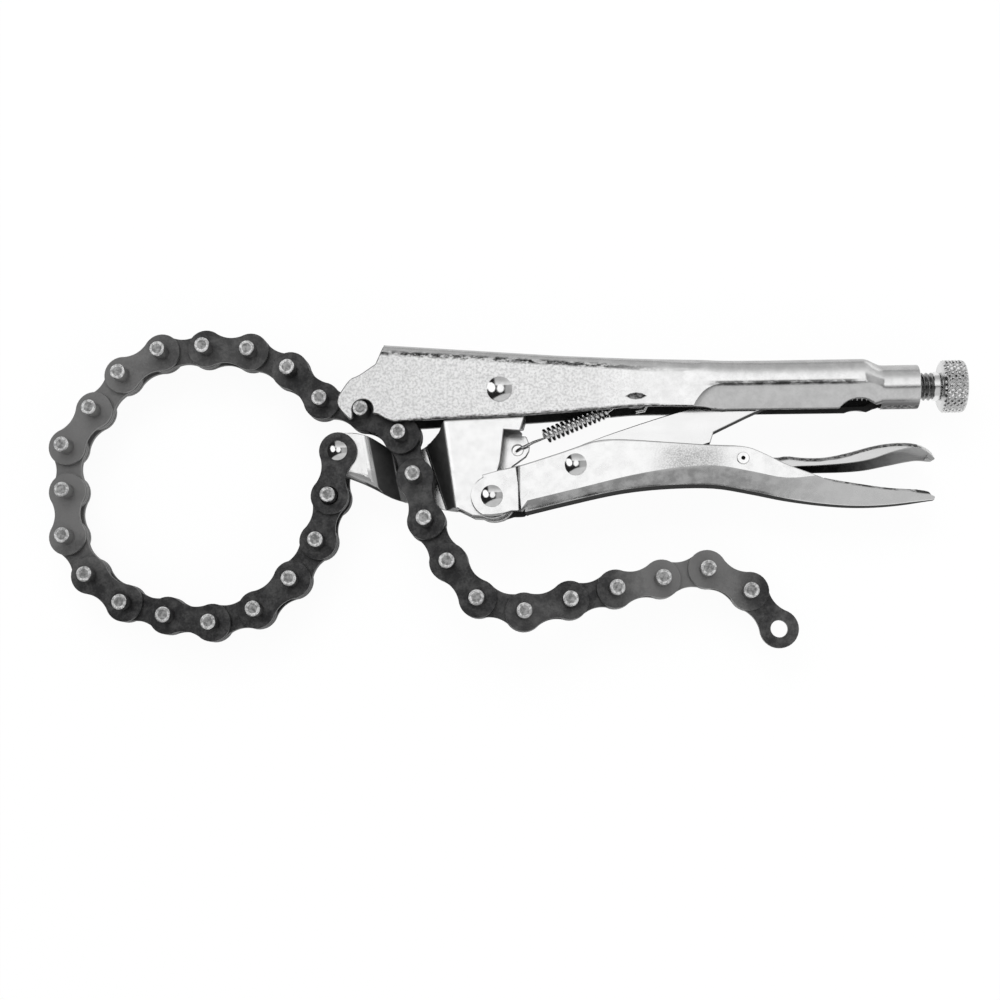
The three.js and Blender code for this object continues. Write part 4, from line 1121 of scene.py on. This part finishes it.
LEVER_TOP = [(-11, 3.6), (-4, 4.4), (4, 3.2), (8, 1.4), (11, 0.7), (15, 1.2), (20, 0.6),
             (27.6, 0.5), (35, 1.8), (42.6, 3.8), (47.6, 4.7), (52.6, 5), (57.5, 4.6),
             (62.4, 2.7), (64.5, -0.2)]
LEVER_NEAR = [(64, -0.2), (60.4, 1.9), (56.2, 3.0), (49.5, 1.6), (42.2, -0.8), (34.5, -2.0),
              (25, -2.5), (18, -2.7), (10, -4.0), (4, -4.4), (-4, -4.2), (-11, -0.6)]
LEVER_FAR = [(64, -0.1), (60, 0.7), (56.2, 0.3), (52.6, -0.4), (49.5, -1.0), (42.2, -2.4),
             (34.5, -3.0), (25, -3.3), (18, -3.4), (10, -4.4), (4, -4.6), (-4, -4.2), (-11, -0.6)]
LEVER_SHEET = 1.6


def make_release_lever():
    top_line = through(LEVER_TOP, 5)
    shares = [-12 + 2 * i for i in range(36)] + [59.5, 61, 62, 63, 64, 64.4]

    def ring(share, inset=0.0):
        half = mix(5.6, 7.2, ease(share, 20, 38)) - 3.0 * ease(share, 56, 65) ** 2
        top = height_at(top_line, share)
        points = channel_ring(share, half, top, -30, (2.4, 1.9, 0), (1, 1), inset, 6)
        return [(x + LEVER_PIN[0], y + LEVER_PIN[1], z) for x, y, z in points]

    piece = solid_through("release_lever_body", [ring(s) for s in shares])
    hollow = [ring(s, LEVER_SHEET) for s in [-16, *[s for s in shares[1:] if s < 63]]]
    combine(piece, solid_through("hollow", hollow), "DIFFERENCE")
    for under, low, high in ((LEVER_NEAR, 0, 14), (LEVER_FAR, -14, 0)):
        line = through(under, 4)
        below = [(66, line[0][1]), *line, (-14, -0.6), (-14, -40), (66, -40)]
        spots = [(x + LEVER_PIN[0], y + LEVER_PIN[1]) for x, y in below]
        combine(piece, plate("below", spots, low, high), "DIFFERENCE")
    drill(piece, LEVER_PIN, 1.8, -14, 14)
    break_edges(piece, 0.2)
    smooth(piece, 28)
    # Painted shade: the lever's inner and downward faces get its dark-to-grey gradient, and its top face the
    # darker cut-edge steel as a painted dark line.
    return settle(
        piece, "release_lever", ["release_lever"], LEVER_NICKEL,
        inside=lambda spot, facing: inward(spot, facing) or facing.y < -0.6,
        cut_edge_and_shade=lambda spot, facing: spot.x < LEVER_PIN[0] + 57.5 and facing.y > 0.45,
        shade=LEVER_INSIDE)


make_release_lever()


# Return spring

SPRING_RADIUS = 2.2
WIRE_RADIUS = 0.58
SPRING_COILS = 14
SPRING_FOOT = Vector((15, -15.2, 0))
SPRING_HEAD = Vector((36.6, -6.3, 0))


def make_spring():
    along = (SPRING_HEAD - SPRING_FOOT).normalized()
    across = Vector((0, 0, 1)).cross(along)
    length = (SPRING_HEAD - SPRING_FOOT).length
    hook = [(4.4, -19.5, -7.4), (4.8, -19.2, -6.0), (5.4, -19, -4.95), (6.2, -18.7, -3.8),
            (7.6, -18.2, -3.0), (11.0, -16.6, -2.6)]
    points = [Vector(p) for p in hook]
    turns = 16
    for i in range(SPRING_COILS * turns + 1):
        a = -math.pi / 2 + 2 * math.pi * i / turns
        t = i / (SPRING_COILS * turns)
        points.append(SPRING_FOOT + along * length * t + across * SPRING_RADIUS * math.cos(a)
                      + Vector((0, 0, SPRING_RADIUS * math.sin(a))))
    tail = [(40, -4.0, -1.0), (44.0, -2.65, 0), (46.4, -3.1, 0), (49.7, -3.55, 0),
            (50.15, -4.7, 0), (49.2, -6.4, 0), (46.4, -6.85, 0)]
    points += [Vector(p) for p in tail]
    curve = bpy.data.curves.new("return_spring_wire", "CURVE")
    curve.dimensions = "3D"
    curve.bevel_depth = WIRE_RADIUS
    curve.bevel_resolution = 3
    curve.use_fill_caps = True
    line = curve.splines.new("POLY")
    line.points.add(len(points) - 1)
    for spot, p in zip(line.points, points):
        spot.co = (*p, 1)
    piece = bpy.data.objects.new("return_spring_wire", curve)
    bpy.context.scene.collection.objects.link(piece)
    pick_piece(piece)
    bpy.ops.object.convert(target="MESH")
    piece = named("return_spring_wire")
    close_up(piece, merge=0.0001)
    smooth(piece, 60)
    piece.data.transform(Matrix.Scale(MM, 4) @ Matrix.Translation((0, 0, MIDDLE)))
    piece.data.materials.append(SPRING_STEEL)
    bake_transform(piece)
    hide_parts("return_spring")


make_spring()


# Chain

PITCH = 15.875
PLATE_END = 6.5
PLATE_WAIST = 4.4
PLATE_SHEET = 1.4
INNER_HALF = 1.3
OUTER_LOW = 1.8
PIN_RADIUS = 2.65
PIN_HALF = 9.0
PIN_HOLE = 3.1
EYE_RADIUS = 2.9


def plate_outline():
    """A link plate: two round ends with a waist between them."""
    lean = math.radians(62)
    start = PLATE_END * math.cos(lean)
    edge = PLATE_END * math.sin(lean)
    steps = 14
    side = []
    for i in range(1, steps):
        t = i / steps
        dip = math.cos(math.pi * (t - 0.5)) ** 0.8
        side.append((start + (PITCH - 2 * start) * t, edge + (PLATE_WAIST - edge) * dip))
    near_end = arc((0, 0), PLATE_END, 66, 294, 22)
    far_end = arc((PITCH, 0), PLATE_END, -114, 114, 22)
    return near_end + [(x, -y) for x, y in side] + far_end + side[::-1]


def chain_plate(low, high, holes):
    piece = plate("plate", plate_outline(), low, high)
    for centre, radius in holes:
        drill(piece, centre, radius, low - 2, high + 2, 28)
    pick(piece, "EDGE", lambda a, b: abs(a.z - b.z) < 0.01)
    bpy.ops.mesh.bevel(offset=0.22, segments=2, affect="EDGES")
    bpy.ops.object.mode_set(mode="OBJECT")
    piece.data.materials.append(BLACK_OXIDE)
    return piece


def chain_pin(x):
    half = [(PIN_RADIUS, 0.0), (PIN_RADIUS, PIN_HALF - 0.35), (PIN_RADIUS - 0.1, PIN_HALF - 0.12),
            (PIN_RADIUS - 0.35, PIN_HALF), (PIN_RADIUS - 0.75, PIN_HALF - 0.02),
            (PIN_RADIUS - 1.0, PIN_HALF - 0.12), (0.5, PIN_HALF - 0.14), (0.06, PIN_HALF - 0.18)]
    piece = turned("pin", [(r, -h) for r, h in half[:0:-1]] + half, 28)
    piece.data.materials.append(BLACK_OXIDE)
    piece.data.materials.append(PIN_END)
    piece.data.materials.append(PIN_RIM)
    for f in piece.data.polygons:
        at_rim = math.hypot(f.center.x, f.center.y) > PIN_RADIUS - 1.0
        f.material_index = 0 if abs(f.center.z) < PIN_HALF - 0.3 else 2 if at_rim else 1
    return place(piece, (x, 0))


def link_master(kind):
    pin_holes = [((0, 0), PIN_HOLE), ((PITCH, 0), PIN_HOLE)]
    if kind == "outer":
        parts = [chain_plate(OUTER_LOW, OUTER_LOW + PLATE_SHEET, []),
                 chain_plate(-OUTER_LOW - PLATE_SHEET, -OUTER_LOW, []),
                 chain_pin(0), chain_pin(PITCH)]
    elif kind == "inner":
        parts = [chain_plate(0.06, INNER_HALF, pin_holes),
                 chain_plate(-INNER_HALF, -0.06, pin_holes)]
    elif kind == "last":
        eye = [((0, 0), PIN_HOLE), ((PITCH, 0), EYE_RADIUS)]
        parts = [chain_plate(-INNER_HALF, INNER_HALF, eye)]
    else:
        low = OUTER_LOW + PLATE_SHEET + 0.45
        eye = [((0, 0), 2.6), ((PITCH, 0), PIN_HOLE)]
        sign = 1 if kind == "near" else -1
        bottom, top = sorted((sign * low, sign * (low + PLATE_SHEET)))
        parts = [chain_plate(bottom, top, eye)]
    piece = join(parts, "link_" + kind)
    smooth(piece, 35)
    return piece


LOOP_HEADINGS = [-100, -105, -124, -140, -164, 171, 164, 143, 122, 93, 93, 55, 52, 30, 4, -5,
                 -26, -44, -17]
TAIL_HEADINGS = [-33, -72, -75, -61, -51, -16.5, 14.5, 14, 12.5, 12, -28, -52]
SEAT = (-47.1, -6.5)


def lift_of(pin):
    run = 6.0 if pin < 24.5 else 6.5
    away = min(1.0, abs(pin - 24.5) / run)
    return 6.8 * math.cos(math.pi / 2 * away) ** 2


def walk(start, first, headings):
    pins = [Vector((*start, lift_of(first)))]
    for i, heading in enumerate(headings):
        last = pins[-1]
        height = lift_of(first + i + 1)
        step = math.sqrt(PITCH ** 2 - (height - last.z) ** 2)
        pins.append(Vector((last.x + step * math.cos(heading), last.y + step * math.sin(heading),
                            height)))
    return pins


def close_loop():
    """The pins of the closed loop: each link turns a little until the last pin is in its notch."""
    headings = [math.radians(h) for h in LOOP_HEADINGS]
    for _ in range(12):
        end = walk(ANCHOR, 1, headings)[-1]
        miss = Vector((SEAT[0] - end.x, SEAT[1] - end.y))
        pushes = [(-PITCH * math.sin(h), PITCH * math.cos(h)) for h in headings]
        xx = sum(x * x for x, y in pushes)
        xy = sum(x * y for x, y in pushes)
        yy = sum(y * y for x, y in pushes)
        whole = xx * yy - xy * xy
        a = (yy * miss.x - xy * miss.y) / whole
        b = (xx * miss.y - xy * miss.x) / whole
        headings = [h + a * x + b * y for h, (x, y) in zip(headings, pushes)]
    return walk(ANCHOR, 1, headings)


def put_link(master, name, start, end, body, nodes):
    """A copy of a master link with its own mesh, laid from one pin to the next."""
    piece = master.copy()
    piece.data = master.data.copy()
    piece.name = name
    piece.data.name = name
    bpy.context.scene.collection.objects.link(piece)
    along = (end - start).normalized()
    up = (Vector((0, 0, 1)) - along * along.z).normalized()
    side = up.cross(along)
    turn = Matrix((along, side, up)).transposed().to_4x4()
    piece.data.transform(Matrix.Translation(start) @ turn)
    return settle(piece, body, nodes, None)


def make_chain():
    loop = close_loop()
    pins = loop[:-1] + walk(SEAT, len(loop), [math.radians(h) for h in TAIL_HEADINGS])
    masters = {kind: link_master(kind) for kind in ("near", "far", "outer", "inner", "last")}
    for kind in ("near", "far"):
        put_link(masters[kind], f"chain_plate_{kind}", pins[0], pins[1], "link_01",
                 [f"link_01_{kind}"])
    for number in range(2, len(pins)):
        kind = "last" if number == len(pins) - 1 else "outer" if number % 2 == 0 else "inner"
        label = f"link_{number:02d}"
        put_link(masters[kind], f"chain_{label}", pins[number - 1], pins[number], label, [label])
    for master in masters.values():
        bpy.data.objects.remove(master)


make_chain()


# Table, backdrop, lights and camera


def paper():
    """White paper: it shows pure white to the eye and to metal, and keeps the object's shadow."""
    f = Finish("white_paper", (0.93, 0.93, 0.93), 0.0, 0.9)
    f.bumped(f.noise(300, 2, 0.5), 0.00005)
    glow = f.nodes.new("ShaderNodeEmission")
    glow.inputs["Color"].default_value = (1, 1, 1, 1)
    glow.inputs["Strength"].default_value = 1.0
    ray = f.nodes.new("ShaderNodeLightPath")
    seen = f.sum("MAXIMUM", ray.outputs["Is Camera Ray"], ray.outputs["Is Glossy Ray"])
    seen = f.sum("MAXIMUM", seen, ray.outputs["Is Transmission Ray"])
    share = f.sum("MULTIPLY", seen, 0.94)
    blend = f.nodes.new("ShaderNodeMixShader")
    output = f.nodes["Material Output"]
    f.links.new(share, blend.inputs["Fac"])
    f.links.new(f.shader.outputs["BSDF"], blend.inputs[1])
    f.links.new(glow.outputs["Emission"], blend.inputs[2])
    f.links.new(blend.outputs["Shader"], output.inputs["Surface"])
    return f.material


def make_table():
    deselect_all()
    bpy.ops.mesh.primitive_grid_add(x_subdivisions=8, y_subdivisions=8, size=3)
    floor = named("table_top")
    floor.data.materials.append(paper())


class Sky:
    """The room as the metal sees it: patches of light and dark by direction, over a plain level."""

    def __init__(self):
        world = bpy.data.worlds.new("studio")
        bpy.context.scene.world = world
        world.use_nodes = True
        self.nodes = world.node_tree.nodes
        self.links = world.node_tree.links
        self.direction = self.nodes.new("ShaderNodeTexCoord").outputs["Generated"]
        split = self.nodes.new("ShaderNodeSeparateXYZ")
        self.links.new(self.direction, split.inputs["Vector"])
        self.axis = split.outputs

    def ranged(self, value, low, high, to_low, to_high):
        node = self.nodes.new("ShaderNodeMapRange")
        node.interpolation_type = "SMOOTHSTEP"
        for name, number in (("From Min", low), ("From Max", high),
                             ("To Min", to_low), ("To Max", to_high)):
            node.inputs[name].default_value = number
        self.links.new(value, node.inputs["Value"])
        return node.outputs["Result"]

    def sum(self, kind, *values):
        node = self.nodes.new("ShaderNodeMath")
        node.operation = kind
        for value, slot in zip(values, node.inputs):
            if isinstance(value, (int, float)):
                slot.default_value = value
            else:
                self.links.new(value, slot)
        return node.outputs["Value"]

    def patch(self, below, centre, size, level, edge=0.35):
        """Lays an oval of one level over what is below it; sizes are in the direction's X and Y."""
        away = [self.sum("DIVIDE", self.sum("SUBTRACT", self.axis[name], c), s)
                for name, c, s in zip("XY", centre, size)]
        squares = [self.sum("MULTIPLY", a, a) for a in away]
        cover = self.ranged(self.sum("ADD", *squares), 1.0 + edge, 1.0 - edge, 0, 1)
        cover = self.sum("MULTIPLY", cover, self.ranged(self.axis["Z"], 0.0, 0.1, 0, 1))
        over = self.sum("MULTIPLY", cover, level)
        under = self.sum("MULTIPLY", below, self.sum("SUBTRACT", 1.0, cover))
        return self.sum("ADD", over, under)


def make_world():
    sky = Sky()
    x, y = sky.axis["X"], sky.axis["Y"]
    right = sky.ranged(x, 0.28, 0.5, 0.02, 0.42)
    back = sky.sum("MULTIPLY", sky.ranged(y, 0.4, 0.5, 0, 1), sky.ranged(y, 0.45, 0.88, 0.88, 0.47))
    back = sky.sum("MULTIPLY", back, sky.ranged(x, -0.45, -0.3, 0, 1))
    low = sky.sum("SUBTRACT", y, sky.sum("MULTIPLY", x, 0.36))
    front = sky.ranged(low, -0.28, -0.42, 0, 0.62)
    level = sky.sum("MAXIMUM", right, sky.sum("MAXIMUM", back, front))
    level = sky.patch(level, (-0.6, 0.28), (0.22, 0.34), 1.3, edge=0.2)
    level = sky.patch(level, (0.02, 0.2), (0.3, 0.34), 1.14, edge=0.3)
    ray = sky.nodes.new("ShaderNodeLightPath")
    tone = sky.sum("MAXIMUM", level, sky.sum("MULTIPLY", ray.outputs["Is Diffuse Ray"], 0.7))
    tone = sky.sum("MAXIMUM", tone, ray.outputs["Is Camera Ray"])
    background = sky.nodes["Background"]
    sky.links.new(tone, background.inputs["Strength"])
    background.inputs["Color"].default_value = (1, 1, 1, 1)


def add_softbox(name, spot, aim, size, power):
    light = bpy.data.lights.new(name, "AREA")
    light.shape = "RECTANGLE"
    light.size, light.size_y = size
    light.energy = power
    lamp = bpy.data.objects.new(name, light)
    bpy.context.scene.collection.objects.link(lamp)
    lamp.location = spot
    lamp.visible_glossy = False
    lamp.rotation_euler = (Vector(aim) - Vector(spot)).to_track_quat("-Z", "Y").to_euler()
    return lamp


def make_camera():
    aim = Vector((-0.44, -37.0, 10.3)) * MM
    back = Vector((0.0691, -0.1392, 0.9879)).normalized()
    data = bpy.data.cameras.new("camera")
    data.sensor_width = 36
    data.lens = 54.47
    data.clip_start = 0.01
    data.clip_end = 10
    camera = bpy.data.objects.new("camera", data)
    bpy.context.scene.collection.objects.link(camera)
    right = Vector((0, 1, 0)).cross(back).normalized()
    up = back.cross(right)
    turn = Matrix((right, up, back)).transposed().to_4x4()
    camera.matrix_world = Matrix.Translation(aim + back * 0.52) @ turn
    bpy.context.scene.camera = camera


make_table()
make_world()
add_softbox("high_softbox", (-0.15, 0.75, 0.8), (0, -0.03, 0), (0.8, 0.5), 5)
add_softbox("front_softbox", (0.5, -0.85, 0.5), (0, -0.03, 0), (0.7, 0.4), 3)
make_camera()
bpy.context.scene.view_settings.view_transform = "Standard"
